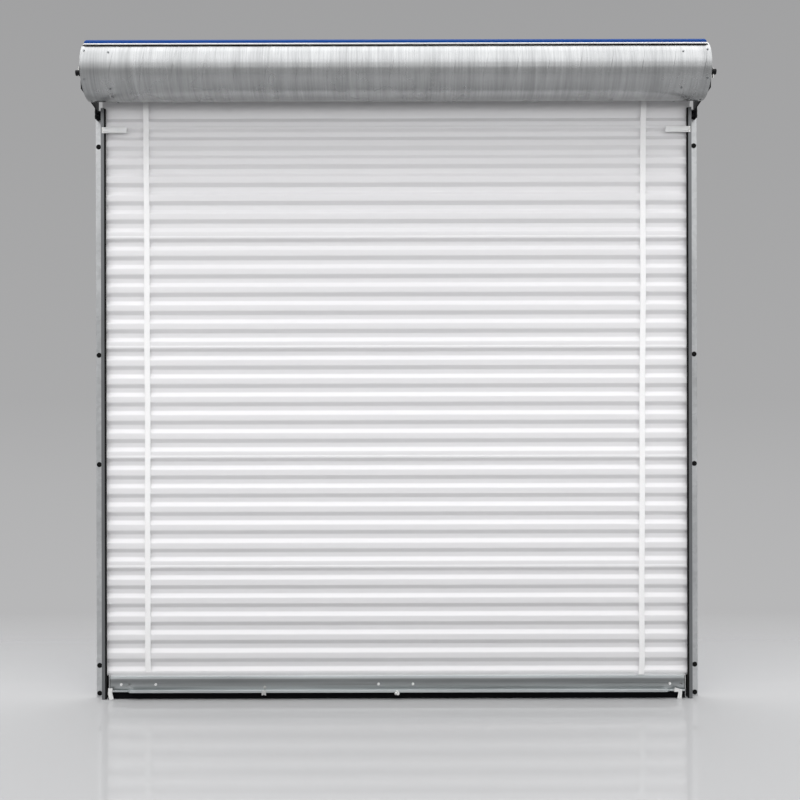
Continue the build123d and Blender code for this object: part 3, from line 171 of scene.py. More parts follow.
# Wrap: the curtain's end on the barrel, at angles above the front, in degrees. Its free edge lies
# between valley (0) and crest (1), springs off the round, and drifts outwards at both ends
WRAP_INNER_RADIUS = 0.1272
WRAP_OUTER_RADIUS = WRAP_INNER_RADIUS + WAVE_DEPTH
WRAP_FRONT_ANGLE = 47.9
WRAP_REAR_ANGLE = 180.0
WRAP_EDGE_LEVEL = 0.5
WRAP_SPRING = 0.0015
WRAP_SPRING_END = 90.0
WRAP_DRIFT_LEFT = 0.012
WRAP_DRIFT_RIGHT = 0.008
WRAP_WAVER_SHARE = 0.5

# White bead on the wrap's edge: its reach from that edge, along the wrap and outwards
BEAD_ALONG = (-0.0045, 0.0015)
BEAD_OUT = (-0.0050, 0.0009)
BEAD_CORNER = 0.0012
BEAD_WAVER_PLACE = 0.1

# Black strip on the barrel under the wrap's free edge: a dark sheet that draws the shadow in the
# gap between the barrel and the wrap
SHADE_STRIP_ANGLES = (44.4, 51.0)
SHADE_STRIP_ENDS = (-1.3838, 1.3786)
SHADE_STRIP_HALF_THICKNESS = 0.0006
SHADE_STRIP_COLUMNS = 40
SHADE_STRIP_ROWS = 6

# Plugs in the guides' anchor holes: radius and depth along the stem and the domed head
ANCHOR_X = 1.390
ANCHOR_HEIGHTS = (0.018, 0.148, 1.086, 1.597, 2.570)
PLUG_STEM = [(0.0088, 0.0004), (0.0088, 0.0031)]
PLUG_HEAD = [(0.0115, 0.0031), (0.0118, 0.0036), (0.0112, 0.0044), (0.0092, 0.0052),
             (0.0060, 0.0057), (0.0030, 0.0058)]
PLUG_TIP = 0.0059
PLUG_SIDES = 28

# Edges that stay sharp in the pieces, and bevels of the nodes that stay, with angles in degrees
SHARP_ANGLE = 50
BEVEL_ANGLE = 40
WELD_DISTANCE = 0.00001
FINE_EDGE = 0.0004
PLATE_EDGE = 0.0006
BAR_EDGE = 0.0007
FORMED_EDGE = 0.0008
HEAD_EDGE = 0.0009
RUBBER_EDGE = 0.0012

# Camera, from the photograph: its place, its roll in degrees, and its lens in pixels
CAMERA_X = 0.0155
CAMERA_DEPTH = 4.727
CAMERA_Z = 1.385
CAMERA_ROLL = 0.12
FOCAL_PIXELS = 1011.0
IMAGE_PIXELS = 800
SENSOR_WIDTH = 36.0

# Backdrop and light: greys by direction, from straight down (0) to straight up (1)
BACKDROP_STOPS = [(0.0, 0.50), (0.37, 0.475), (0.41, 0.475), (0.46, 0.445), (0.5, 0.405),
                  (0.69, 0.355), (0.7, 1.0), (0.72, 1.42), (1.0, 1.42)]
LIGHT_STOPS = [(0.0, 0.0), (0.4, 0.05), (0.5, 0.86), (0.575, 0.01), (0.675, 0.01),
               (0.775, 0.09), (0.9, 0.68), (1.0, 0.02)]
LIGHT_STRENGTH = 4.0
SKY_BLUE_SHARE = 1.01
LAMP_Y = 0.1

# Floor: its colour for light and as it shows, its gloss at a slant, and where it fades out,
# behind the wall and around the door
FLOOR_REACH = 12.0
FLOOR_UNLIT = (0.20, 0.20, 0.20)
FLOOR_SHOWN = (0.50, 0.502, 0.505)
FLOOR_ROUGHNESS = 0.8
GLOSS_GREY = 0.9
GLOSS_ROUGHNESS = 0.035
GLOSS_SHARE = 0.14
GLOSS_SLANTS = (0.38, 0.62)
FADE_BEHIND = (0.35, 2.0)
FADE_AROUND = (3.5, 11.5)

# Ranges: where a noise mostly lies, for roughness and for colour, and a whole share
NOISE_RANGE = (0.3, 0.7)
NOISE_CORE = (0.32, 0.68)
WHOLE = (0.0, 1.0)


# Shader helpers

def new_material(name):
    """A material with its node tree and its shader."""
    made = bpy.data.materials.new(name)
    made.use_nodes = True
    tree = made.node_tree
    return made, tree, tree.nodes["Principled BSDF"]


def place_noise(tree, scale, detail=4.0, stretch=(1, 1, 1), roughness=0.55):
    """Noise that follows the object's own coordinates."""
    coordinates = tree.nodes.new("ShaderNodeTexCoord")
    mapping = tree.nodes.new("ShaderNodeMapping")
    mapping.inputs["Scale"].default_value = stretch
    texture = tree.nodes.new("ShaderNodeTexNoise")
    texture.inputs["Scale"].default_value = scale
    texture.inputs["Detail"].default_value = detail
    texture.inputs["Roughness"].default_value = roughness
    tree.links.new(coordinates.outputs["Object"], mapping.inputs["Vector"])
    tree.links.new(mapping.outputs["Vector"], texture.inputs["Vector"])
    return texture.outputs["Fac"]


def axes(tree, kind="Object"):
    """The separate coordinates of a place or a direction."""
    coordinates = tree.nodes.new("ShaderNodeTexCoord")
    split = tree.nodes.new("ShaderNodeSeparateXYZ")
    tree.links.new(coordinates.outputs[kind], split.inputs["Vector"])
    return split.outputs


def spread(tree, source, span, result=WHOLE):
    """Maps a value from one range to another."""
    node = tree.nodes.new("ShaderNodeMapRange")
    node.inputs["From Min"].default_value, node.inputs["From Max"].default_value = span
    node.inputs["To Min"].default_value, node.inputs["To Max"].default_value = result
    tree.links.new(source, node.inputs["Value"])
    return node.outputs["Result"]


def combine(tree, operation, *sources):
    """A sum, product or other operation on values."""
    node = tree.nodes.new("ShaderNodeMath")
    node.operation = operation
    for source, socket in zip(sources, node.inputs):
        tree.links.new(source, socket)
    return node.outputs[0]


def colour_socket(sockets, name):
    """The socket of a colour, which shares its name with sockets of other kinds."""
    return next(socket for socket in sockets if socket.name == name and socket.type == "RGBA")


def mixed(tree, factor, first, second, blend="MIX"):
    """Mixes two colours, each a value or a socket, in full where the factor is None."""
    node = tree.nodes.new("ShaderNodeMix")
    node.data_type = "RGBA"
    node.blend_type = blend
    if factor is None:
        node.inputs["Factor"].default_value = 1.0
    else:
        tree.links.new(factor, node.inputs["Factor"])
    for name, value in (("A", first), ("B", second)):
        target = colour_socket(node.inputs, name)
        if isinstance(value, (tuple, list)):
            target.default_value = (*value, 1)
        else:
            tree.links.new(value, target)
    return colour_socket(node.outputs, "Result")


def grey_ramp(tree, source, stops, blue_share=1.0):
    """Greys along a value, each with its place."""
    node = tree.nodes.new("ShaderNodeValToRGB")
    elements = node.color_ramp.elements
    for index, (place, grey) in enumerate(stops):
        element = elements[index] if index < 2 else elements.new(place)
        element.position = place
        element.color = (grey, grey, grey * blue_share, 1)
    tree.links.new(source, node.inputs["Fac"])
    return node.outputs["Color"]


def bump(tree, shader, source, strength, distance):
    """Adds a bump from a height."""
    node = tree.nodes.new("ShaderNodeBump")
    node.inputs["Strength"].default_value = strength
    node.inputs["Distance"].default_value = distance
    tree.links.new(source, node.inputs["Height"])
    tree.links.new(node.outputs["Normal"], shader.inputs["Normal"])


def shown(tree):
    """One for a ray that shows the studio: seen, mirrored or through glass."""
    path = tree.nodes.new("ShaderNodeLightPath")
    seen = path.outputs["Is Camera Ray"]
    for kind in ("Is Glossy Ray", "Is Transmission Ray"):
        seen = combine(tree, "MAXIMUM", seen, path.outputs[kind])
    return seen


def blended(tree, factor, first, second):
    """Mixes two shaders."""
    node = tree.nodes.new("ShaderNodeMixShader")
    tree.links.new(factor, node.inputs["Fac"])
    tree.links.new(first, node.inputs[1])
    tree.links.new(second, node.inputs[2])
    return node.outputs["Shader"]


# Materials

def surface(name, colour, other, roughness, scale, metallic=0.0, stretch=(1, 1, 1), grain=0.0,
            grain_scale=900.0, specular=0.5):
    """A finish whose colour and roughness vary over noise, with a fine grain."""
    made, tree, shader = new_material(name)
    texture = place_noise(tree, scale, detail=5.0, stretch=stretch)
    tree.links.new(mixed(tree, spread(tree, texture, NOISE_CORE), colour, other),
                   shader.inputs["Base Color"])
    tree.links.new(spread(tree, texture, NOISE_RANGE, roughness), shader.inputs["Roughness"])
    shader.inputs["Metallic"].default_value = metallic
    shader.inputs["Specular IOR Level"].default_value = specular
    if grain:
        fine = place_noise(tree, grain_scale, detail=2.0, stretch=stretch)
        bump(tree, shader, fine, strength=0.5, distance=grain)
    return made


def galvanised(name, colour, other, roughness, spangle):
    """Zinc coat: flat crystals of slightly different greys under faint stains."""
    crystal_share = 0.35
    made, tree, shader = new_material(name)
    coordinates = tree.nodes.new("ShaderNodeTexCoord")
    cells = tree.nodes.new("ShaderNodeTexVoronoi")
    cells.inputs["Scale"].default_value = spangle
    tree.links.new(coordinates.outputs["Object"], cells.inputs["Vector"])
    split = tree.nodes.new("ShaderNodeSeparateColor")
    tree.links.new(cells.outputs["Color"], split.inputs["Color"])
    stains = place_noise(tree, scale=9.0, detail=6.0, stretch=(1, 1, 0.5))
    joined = tree.nodes.new("ShaderNodeMath")
    joined.operation = "MULTIPLY_ADD"
    joined.inputs[1].default_value = crystal_share
    tree.links.new(split.outputs["Red"], joined.inputs[0])
    tree.links.new(spread(tree, stains, NOISE_RANGE, (0.0, 1 - crystal_share)), joined.inputs[2])
    tree.links.new(mixed(tree, joined.outputs[0], colour, other), shader.inputs["Base Color"])
    tree.links.new(spread(tree, joined.outputs[0], WHOLE, roughness), shader.inputs["Roughness"])
    shader.inputs["Metallic"].default_value = 1.0
    return made


def barrel_zinc():
    """Rolled zinc strip: fine and wide streaks around the barrel, and faint stains."""
    made, tree, shader = new_material("barrel_zinc")
    streaks = place_noise(tree, scale=5.0, detail=5.0, stretch=(4.5, 0.35, 0.35), roughness=0.6)
    fine = place_noise(tree, scale=22.0, stretch=(6.0, 0.25, 0.25), roughness=0.6)
    stains = place_noise(tree, scale=3.0)
    height = combine(tree, "ADD", streaks, fine)
    tone = spread(tree, height, (0.7, 1.3))
    tree.links.new(mixed(tree, tone, (0.275, 0.28, 0.282), (0.41, 0.416, 0.418)),
                   shader.inputs["Base Color"])
    tree.links.new(spread(tree, stains, NOISE_RANGE, (0.2, 0.32)), shader.inputs["Roughness"])
    shader.inputs["Metallic"].default_value = 1.0
    bump(tree, shader, height, strength=0.25, distance=0.0005)
    return made


def woven(name, colour, scale):
    """White webbing: threads across and along the tape."""
    between_threads = [0.96 * share for share in colour]
    made, tree, shader = new_material(name)
    coordinates = tree.nodes.new("ShaderNodeTexCoord")
    waves = []
    for direction in ("X", "Z"):
        wave = tree.nodes.new("ShaderNodeTexWave")
        wave.bands_direction = direction
        wave.inputs["Scale"].default_value = scale
        wave.inputs["Distortion"].default_value = 0.6
        tree.links.new(coordinates.outputs["Object"], wave.inputs["Vector"])
        waves.append(wave.outputs["Fac"])
    height = combine(tree, "MULTIPLY", *waves)
    tree.links.new(mixed(tree, height, between_threads, colour), shader.inputs["Base Color"])
    shader.inputs["Roughness"].default_value = 0.6
    bump(tree, shader, height, strength=0.4, distance=0.0003)
    return made


PAINT_WHITE = surface("curtain_paint_inside", (0.795, 0.79, 0.80), (0.805, 0.80, 0.808),
                      roughness=(0.29, 0.33), scale=0.8, grain=0.00004, grain_scale=1300.0,
                      specular=0.7)
PAINT_BLUE = surface("curtain_paint_outside", (0.003, 0.037, 0.175), (0.004, 0.044, 0.205),
                     roughness=(0.45, 0.55), scale=1.5, grain=0.00003, grain_scale=1300.0,
                     specular=0.02)
STOP_WHITE = surface("stop_white", (0.80, 0.81, 0.81), (0.87, 0.875, 0.87),
                     roughness=(0.32, 0.45), scale=25.0)
TRIM_WHITE = surface("trim_white", (0.82, 0.82, 0.81), (0.88, 0.88, 0.87),
                     roughness=(0.4, 0.5), scale=30.0)
TAB_WHITE = surface("tab_white", (0.82, 0.82, 0.81), (0.88, 0.88, 0.87),
                    roughness=(0.35, 0.5), scale=40.0)
BLACK_PAINT = surface("bracket_black", (0.004, 0.004, 0.005), (0.008, 0.008, 0.009),
                      roughness=(0.55, 0.7), scale=14.0, grain=0.0001, grain_scale=500.0,
                      specular=0.2)
BLACK_PLASTIC = surface("strip_black", (0.003, 0.003, 0.003), (0.006, 0.006, 0.006),
                        roughness=(0.6, 0.75), scale=30.0, grain=0.00005, specular=0.12)
RUBBER = surface("seal_black", (0.0015, 0.0015, 0.002), (0.004, 0.004, 0.005),
                 roughness=(0.65, 0.85), scale=12.0, stretch=(0.2, 1, 1), grain=0.0001,
                 grain_scale=700.0, specular=0.08)
ZINC_PLATE = surface("zinc_plate", (0.62, 0.62, 0.61), (0.76, 0.75, 0.72),
                     roughness=(0.22, 0.38), scale=60.0, metallic=1.0)
BRIGHT_ZINC = surface("bright_zinc", (0.86, 0.86, 0.855), (0.94, 0.94, 0.93),
                      roughness=(0.3, 0.42), scale=60.0, metallic=0.4)
BAR_METAL = surface("bar_metal", (0.37, 0.388, 0.393), (0.51, 0.532, 0.535),
                    roughness=(0.28, 0.42), scale=3.0, metallic=1.0, stretch=(0.3, 6, 6),
                    grain=0.00003, grain_scale=400.0)
SPRING_STEEL = surface("spring_steel", (0.12, 0.12, 0.125), (0.2, 0.2, 0.2),
                       roughness=(0.3, 0.5), scale=30.0, metallic=1.0)
BEARING_STEEL = surface("bearing_steel", (0.4, 0.4, 0.41), (0.5, 0.5, 0.5),
                        roughness=(0.18, 0.3), scale=50.0, metallic=1.0)
CAST_IRON = surface("cast_iron", (0.08, 0.08, 0.08), (0.14, 0.135, 0.13),
                    roughness=(0.6, 0.8), scale=60.0, metallic=0.6, grain=0.0004,
                    grain_scale=300.0)
GUIDE_ZINC = galvanised("guide_zinc", (0.44, 0.45, 0.455), (0.62, 0.63, 0.635),
                        roughness=(0.30, 0.5), spangle=70.0)
DARK_ZINC = galvanised("aged_zinc", (0.16, 0.165, 0.17), (0.30, 0.31, 0.315),
                       roughness=(0.35, 0.55), spangle=90.0)
WHEEL_STEEL = galvanised("wheel_steel", (0.40, 0.41, 0.42), (0.55, 0.56, 0.57),
                         roughness=(0.3, 0.5), spangle=60.0)
BARREL_ZINC = barrel_zinc()
TAPE_WHITE = woven("tape_white", (0.99, 0.99, 0.99), 260.0)
ROPE_WHITE = woven("rope_white", (0.86, 0.86, 0.84), 420.0)


# Mesh helpers

def at(x, depth, z):
    """A point given by its depth from the wall."""
    return (x, WALL_Y - depth, z)


def around(x, angle, radius):
    """A point around the axle, at an angle above the front."""
    turn = math.radians(angle)
    return at(x, AXLE_DEPTH + radius * math.cos(turn), AXLE_Z + radius * math.sin(turn))


def spaced(low, high, count):
    """Evenly spaced values with both ends."""
    return [low + (high - low) * step / (count - 1) for step in range(count)]


def waver(x, z):
    """Slight unevenness of a rolled sheet."""
    return noise.noise(Vector((x * WAVER_ACROSS, z * WAVER_UPWARDS, WAVER_PLACE))) * CURTAIN_WAVER


def rounded(corners, radius, steps):
    """A line of corners with each bend rounded, within a share of the sides that meet there."""
    share = 0.48
    line = [Vector(corners[0])]
    for before, corner, after in zip(corners, corners[1:], corners[2:]):
        before, corner, after = Vector(before), Vector(corner), Vector(after)
        back, forth = before - corner, after - corner
        half = back.angle(forth) / 2
        cut = min(radius / math.tan(half), share * back.length, share * forth.length)
        start = corner + back.normalized() * cut
        end = corner + forth.normalized() * cut
        for t in spaced(0, 1, steps + 1):
            line.append(start * (1 - t) ** 2 + corner * 2 * t * (1 - t) + end * t ** 2)
    line.append(Vector(corners[-1]))
    return line


def skin(line, columns, point_of, front, back):
    """A thin sheet: one line repeated at each column, and the same behind it.

    Gives points, faces and material indices."""
    rows = len(line)
    offset = len(columns) * rows
    points = [point_of(x, place, side) for side in (0, 1) for x in columns for place in line]
    faces, indices = [], []
    for column in range(len(columns) - 1):
        for row in range(rows - 1):
            a = column * rows + row
            b = a + rows
            faces.append((a, b, b + 1, a + 1))
            indices.append(front)
            faces.append((offset + a, offset + a + 1, offset + b + 1, offset + b))
            indices.append(back)
    for row in range(rows - 1):
        for column, turn in ((0, 1), (len(columns) - 1, -1)):
            a = column * rows + row
            faces.append((a, a + 1, offset + a + 1, offset + a)[::turn])
    for column in range(len(columns) - 1):
        for row, turn in ((0, -1), (rows - 1, 1)):
            a = column * rows + row
            b = a + rows
            faces.append((a, b, offset + b, offset + a)[::turn])
    indices.extend([back] * (len(faces) - len(indices)))
    return points, faces, indices


def wall_faces(start, rows, size, mirrored=False):
    """Faces of a closed section of points that is repeated along a row."""
    faces = []
    for row in range(rows - 1):
        for step in range(size):
            a = start + row * size + step
            b = start + row * size + (step + 1) % size
            faces.append((a, b, b + size, a + size) if mirrored else (a, a + size, b + size, b))
    return faces


def tube_faces(start, rows, size, mirrored=False):
    """The same with both ends closed."""
    turn = -1 if mirrored else 1
    first = range(start, start + size)
    last = range(start + (rows - 1) * size, start + rows * size)
    return wall_faces(start, rows, size, mirrored) + [tuple(first[::turn]), tuple(last[::-turn])]


def outwards(mesh):
    """Turns the faces of a closed mesh outwards."""
    shape = bmesh.new()
    shape.from_mesh(mesh)
    bmesh.ops.recalc_face_normals(shape, faces=shape.faces)
    shape.to_mesh(mesh)
    shape.free()


def add_piece(name, points, faces, materials, body, replaced=(), indices=None, smooth=True):
    """Makes one mesh object that rides on a body."""
    mesh = bpy.data.meshes.new(name)
    mesh.from_pydata(points, [], faces)
    for material in materials:
        mesh.materials.append(material)
    mesh.polygons.foreach_set("material_index", indices or [0] * len(faces))
    mesh.polygons.foreach_set("use_smooth", [smooth] * len(faces))
    mesh.validate()
    mesh.update()
    mesh.set_sharp_from_angle(angle=math.radians(SHARP_ANGLE))
    made = bpy.data.objects.new(name, mesh)
    bpy.context.scene.collection.objects.link(made)
    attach(made, body)
    if replaced:
        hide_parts(*replaced)
    return made


# Curtain

def sheet_corners(low, high):
    """Corners of the curtain's inner face between two seams, from the top."""
    corners = []
    for index in range(PITCHES_BELOW_LOWEST_SEAM + PITCHES_PER_SHEET * SHEET_COUNT, -1, -1):
        top = LOWEST_CREST_TOP + PITCH * index
        above = index - PITCHES_BELOW_LOWEST_SEAM - 1
        drop = HEM_DROP if above >= 0 and above % PITCHES_PER_SHEET == 0 else 0.0
        corners += [(VALLEY_DEPTH, top + SLOPE_HEIGHT), (CREST_DEPTH, top),
                    (CREST_DEPTH, top - CREST_HEIGHT - drop),
                    (VALLEY_DEPTH, top - CREST_HEIGHT - SLOPE_HEIGHT)]
    inside = [(depth, z) for depth, z in corners if low < z < high]
    return [(CREST_DEPTH, high), *inside, (CREST_DEPTH, low)]


def curtain_point(x, place, side):
    """A point of the curtain, on its inner or its outer face."""
    depth, z = place
    return at(x, depth - side * SHEET_THICKNESS + waver(x, z), z)


def flatten(piece):
    """Gives a piece of the curtain its own mesh."""
    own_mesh(piece)


def add_sheet(name, line, half_width, replaced=(), seam=None):
    """One piece of the curtain, with a hem along its top where a seam is given."""
    columns = spaced(-half_width, half_width, CURTAIN_COLUMNS)
    points, faces, indices = skin(line, columns, curtain_point, 0, 1)
    if seam:
        low = seam - HEM_HEIGHT - HEM_DROP
        outer = CREST_DEPTH + HEM_THICKNESS
        inner = CREST_DEPTH - SHEET_THICKNESS / 2
        section = [(inner, low), (outer - HEM_EDGE, low), (outer, low + HEM_EDGE),
                   (outer, seam - HEM_EDGE), (outer - HEM_EDGE, seam), (inner, seam)]
        faces += tube_faces(len(points), len(columns), len(section), mirrored=True)
        points += [at(x, depth + waver(x, seam), z) for x in columns for depth, z in section]
        indices += [0] * (len(faces) - len(indices))
    made = add_piece(name, points, faces, [PAINT_WHITE, PAINT_BLUE], "curtain",
                     replaced, indices)
    flatten(made)


def make_curtain():
    """The sheets from the lowest up, the tongue in the bar, and the leader."""
    lows = [BAR_TOP + LOWEST_CREST_END, *SEAMS]
    for index, (low, seam) in enumerate(zip(lows, SEAMS)):
        corners = sheet_corners(low, seam)
        if index == 0:
            middle = CENTRE_DEPTH + SHEET_THICKNESS / 2
            corners += [(middle, BAR_TOP + TONGUE_BEND), (middle, CURTAIN_BOTTOM)]
        line = rounded(corners, BEND_RADIUS, BEND_STEPS)
        if index == 0:
            foot = [place for place in line if place[1] <= BAR_TOP + TONGUE_TOP]
            line = [place for place in line if place[1] > BAR_TOP + TONGUE_TOP]
            add_sheet("curtain_tongue", [line[-1], *foot], BAR_HALF_LENGTH - TONGUE_CLEARANCE)
        add_sheet(f"curtain_panel_{index + 1}", line, CURTAIN_HALF_WIDTH,
                  [f"curtain_sheet_{index + 1}"], seam)
    corners = [(AXLE_DEPTH - WRAP_INNER_RADIUS, AXLE_Z),
               (VALLEY_DEPTH, LEADER_SLOPE + SLOPE_HEIGHT), (CREST_DEPTH, LEADER_SLOPE),
               (CREST_DEPTH, SEAMS[-1])]
    line = rounded(corners, LEADER_BEND_RADIUS, LEADER_BEND_STEPS)
    add_sheet("curtain_leader_skin", line, CURTAIN_HALF_WIDTH, ["curtain_leader"])


# Tapes

def make_tapes():
    """Webbing that hangs from the barrel over the leader and the hems."""
    back = CREST_DEPTH + HEM_THICKNESS
    top = (AXLE_DEPTH - WRAP_INNER_RADIUS - TAPE_TOP_CLEARANCE, AXLE_Z - TAPE_TOP_DROP)
    for side, name in SIDES:
        centre = TAPE_X[side]
        across = spaced(centre - TAPE_HALF_WIDTH, centre + TAPE_HALF_WIDTH, TAPE_COLUMNS)

        def tape_point(x, place, part):
            depth, z = place
            foot = max(0.0, 1 - (z - TAPE_BOTTOMS[side]) / TAPE_FOOT_HEIGHT)
            swing = TAPE_SWING * math.sin(z * TAPE_SWING_TURNS + side)
            swing += TAPE_WAVER * math.sin(z * TAPE_WAVER_TURNS + side)
            swing -= TAPE_FOOT_SWING * side * foot ** 2
            swing += TAPE_LEAN[side] * min(1.0, max(0.0, (TAPE_LEAN_TOP - z) / TAPE_LEAN_RUN))
            edge = 1 - abs(x - centre) / TAPE_HALF_WIDTH
            thick = min(1.0, edge * TAPE_EDGE_STEEPNESS)
            lift = TAPE_THICKNESS * (TAPE_EDGE_SHARE + (1 - TAPE_EDGE_SHARE) * thick)
            ripple = TAPE_RIPPLE * (1 + math.sin(z * TAPE_RIPPLE_TURNS))
            return at(x + swing, depth + (lift + ripple) * (1 - part), z)

        upper = rounded([top, (back, LEADER_SLOPE), (back, SEAMS[-1])], TAPE_BEND_RADIUS,
                        BEND_STEPS)
        lower = [(back, z) for z in spaced(SEAMS[-1], TAPE_BOTTOMS[side], TAPE_ROWS)]
        line = [tuple(place) for place in upper[:-1]] + lower
        points, faces, _ = skin(line, across, tape_point, 0, 0)
        made = add_piece(f"tape_{name}", points, faces, [TAPE_WHITE], "curtain",
                         ["curtain_tapes", "leader_tapes"])
        flatten(made)


# Rope knot

def knot_path():
    """The rope's middle line: an overhand knot with two short tails."""
    path = []
    for t in spaced(KNOT_OPENING, 2 * math.pi - KNOT_OPENING, KNOT_STEPS):
        path.append(Vector((
            KNOT_X + KNOT_SCALE * (math.sin(t) + 2 * math.sin(2 * t)),
            WALL_Y - KNOT_DEPTH + KNOT_SPREAD * math.sin(3 * t),
            KNOT_Z + KNOT_SCALE * (2 * math.cos(2 * t) - math.cos(t)),
        )))
    ends = []
    for (end, inner), tail, drop in zip(((path[0], path[1]), (path[-1], path[-2])),
                                        KNOT_TAILS, KNOT_TAIL_DROPS):
        ends.append(end + (end - inner).normalized() * tail + Vector((0, 0, -drop)))
    return [ends[0], *path, ends[1]]


def make_knot():
    """Overhand knot at the end of the pull rope, with the lay of its three strands."""
    path = knot_path()
    points = []
    side_way = Vector((0, 1, 0))
    travelled = 0.0
    for index, place in enumerate(path):
        before, after = path[max(index - 1, 0)], path[min(index + 1, len(path) - 1)]
        run = (after - before).normalized()
        side_way = (side_way - run * side_way.dot(run)).normalized()
        other = run.cross(side_way)
        travelled += (place - before).length
        from_end = min(index, len(path) - 1 - index)
        full = ROPE_END_SHARES[min(from_end, len(ROPE_END_SHARES) - 1)]
        for step in range(ROPE_SIDES):
            angle = 2 * math.pi * step / ROPE_SIDES
            strand = abs(math.cos(ROPE_STRANDS / 2 * (angle - travelled / ROPE_LAY)))
            radius = ROPE_RADIUS * full * (1 - ROPE_STRAND_SHARE + ROPE_STRAND_SHARE * strand)
            points.append(place + side_way * math.cos(angle) * radius
                          + other * math.sin(angle) * radius)
    faces = tube_faces(0, len(path), ROPE_SIDES, mirrored=True)
    add_piece("pull_rope_knot", points, faces, [ROPE_WHITE], "curtain", ["rope_knot"])


# Wrap on the barrel

def wrap_x(x, free):
    """Where the wrap's loose end has drifted along the barrel."""
    drift = WRAP_DRIFT_LEFT if x < 0 else WRAP_DRIFT_RIGHT
    return x + drift * free * x / CURTAIN_HALF_WIDTH


def make_wrap():
    """The end of the curtain on the barrel, blue outside."""
    degrees = math.degrees(2 / (WRAP_INNER_RADIUS + WRAP_OUTER_RADIUS))
    steps = [(CREST_HEIGHT, 1), (SLOPE_HEIGHT, 0), (VALLEY_HEIGHT, 0), (SLOPE_HEIGHT, 1)]
    slope_left = (1 - WRAP_EDGE_LEVEL) * SLOPE_HEIGHT
    stations = [(WRAP_FRONT_ANGLE, WRAP_EDGE_LEVEL),
                (WRAP_FRONT_ANGLE + slope_left * degrees, 1)]
    while stations[-1][0] < WRAP_REAR_ANGLE:
        length, level = steps[(len(stations) - 2) % len(steps)]
        stations.append((min(stations[-1][0] + length * degrees, WRAP_REAR_ANGLE), level))
    lift = WAVE_DEPTH - SHEET_THICKNESS
    corners = [(angle / degrees, WRAP_INNER_RADIUS + SHEET_THICKNESS + level * lift)
               for angle, level in stations]
    line = rounded(corners, BEND_RADIUS, BEND_STEPS)[::-1]
    columns = spaced(-CURTAIN_HALF_WIDTH, CURTAIN_HALF_WIDTH, CURTAIN_COLUMNS)

    def wrap_point(x, place, side):
        along, outer = place
        angle = along * degrees
        free = 1 - (angle - WRAP_FRONT_ANGLE) / (WRAP_SPRING_END - WRAP_FRONT_ANGLE)
        free = max(0.0, free)
        radius = outer - side * SHEET_THICKNESS + WRAP_SPRING * free
        return around(wrap_x(x, free), angle, radius + waver(x, along) * WRAP_WAVER_SHARE)

    points, faces, indices = skin(line, columns, wrap_point, 0, 1)
    add_piece("wrap_skin", points, faces, [PAINT_BLUE, PAINT_WHITE], "barrel",
              ["curtain_wrap"], indices)


def make_bead():
    """White bead on the wrap's free edge."""
    near, far = BEAD_ALONG
    inner, outer = BEAD_OUT
    corner = BEAD_CORNER
    section = [(near, inner + corner), (near + corner, inner), (far - corner, inner),
               (far, inner + corner), (far, outer - corner), (far - corner, outer),
               (near + corner, outer), (near, outer - corner)]
    columns = spaced(-CURTAIN_HALF_WIDTH, CURTAIN_HALF_WIDTH, CURTAIN_COLUMNS)
    points = []
    for x in columns:
        middle = (WRAP_INNER_RADIUS + WRAP_EDGE_LEVEL * WAVE_DEPTH + WRAP_SPRING
                  + waver(x, BEAD_WAVER_PLACE) * WRAP_WAVER_SHARE)
        for along, out in section:
            angle = WRAP_FRONT_ANGLE + math.degrees(along / middle)
            points.append(around(wrap_x(x, 1.0), angle, middle + out))
    made = add_piece("edge_bead", points, tube_faces(0, len(columns), len(section)),
                     [TRIM_WHITE], "barrel", ["wrap_edge_trim"])
    outwards(made.data)


def make_shade_strip():
    """Black strip on the barrel under the wrap's free edge, a painted shadow of the gap there."""
    columns = spaced(*SHADE_STRIP_ENDS, SHADE_STRIP_COLUMNS)
    rows = spaced(*SHADE_STRIP_ANGLES, SHADE_STRIP_ROWS)
    section = [(angle, BARREL_RADIUS + SHADE_STRIP_HALF_THICKNESS) for angle in rows]
    section += [(angle, BARREL_RADIUS - SHADE_STRIP_HALF_THICKNESS) for angle in rows[::-1]]
    points = [around(x, angle, radius) for x in columns for angle, radius in section]
    made = add_piece("shade_strip", points, tube_faces(0, len(columns), len(section)),
                     [BLACK_PLASTIC], "barrel")
    outwards(made.data)


# Barrel

def dent(x, turn):
    """Depth of the soft dents in the barrel, which fade out at its ends."""
    place = Vector(((x + DENT_LEAN * math.cos(turn)) * DENTS_ALONG,
                    math.cos(turn) * DENTS_AROUND, math.sin(turn) * DENTS_AROUND))
    fade = min(1.0, (BARREL_HALF_LENGTH - abs(x)) / DENT_FADE)
    return DENT_DEPTH * (1 + noise.noise(place)) * fade


def make_barrel():
    """Tube with soft dents outside and a smooth wall inside."""
    columns = spaced(-BARREL_HALF_LENGTH, BARREL_HALF_LENGTH, BARREL_COLUMNS)
    angles = [360 * step / BARREL_SIDES for step in range(BARREL_SIDES)]
    points = [around(x, angle, BARREL_RADIUS - dent(x, math.radians(angle)))
              for x in columns for angle in angles]
    points += [around(x, angle, BARREL_RADIUS - BARREL_WALL) for x in columns for angle in angles]
    offset = len(columns) * BARREL_SIDES
    faces = wall_faces(0, len(columns), BARREL_SIDES, mirrored=True)
    faces += wall_faces(offset, len(columns), BARREL_SIDES)
    for column, turn in ((0, -1), (len(columns) - 1, 1)):
        for step in range(BARREL_SIDES):
            a = column * BARREL_SIDES + step
            b = column * BARREL_SIDES + (step + 1) % BARREL_SIDES
            faces.append((a, b, offset + b, offset + a)[::turn])
    add_piece("barrel_skin", points, faces, [BARREL_ZINC], "barrel", ["barrel_tube"])


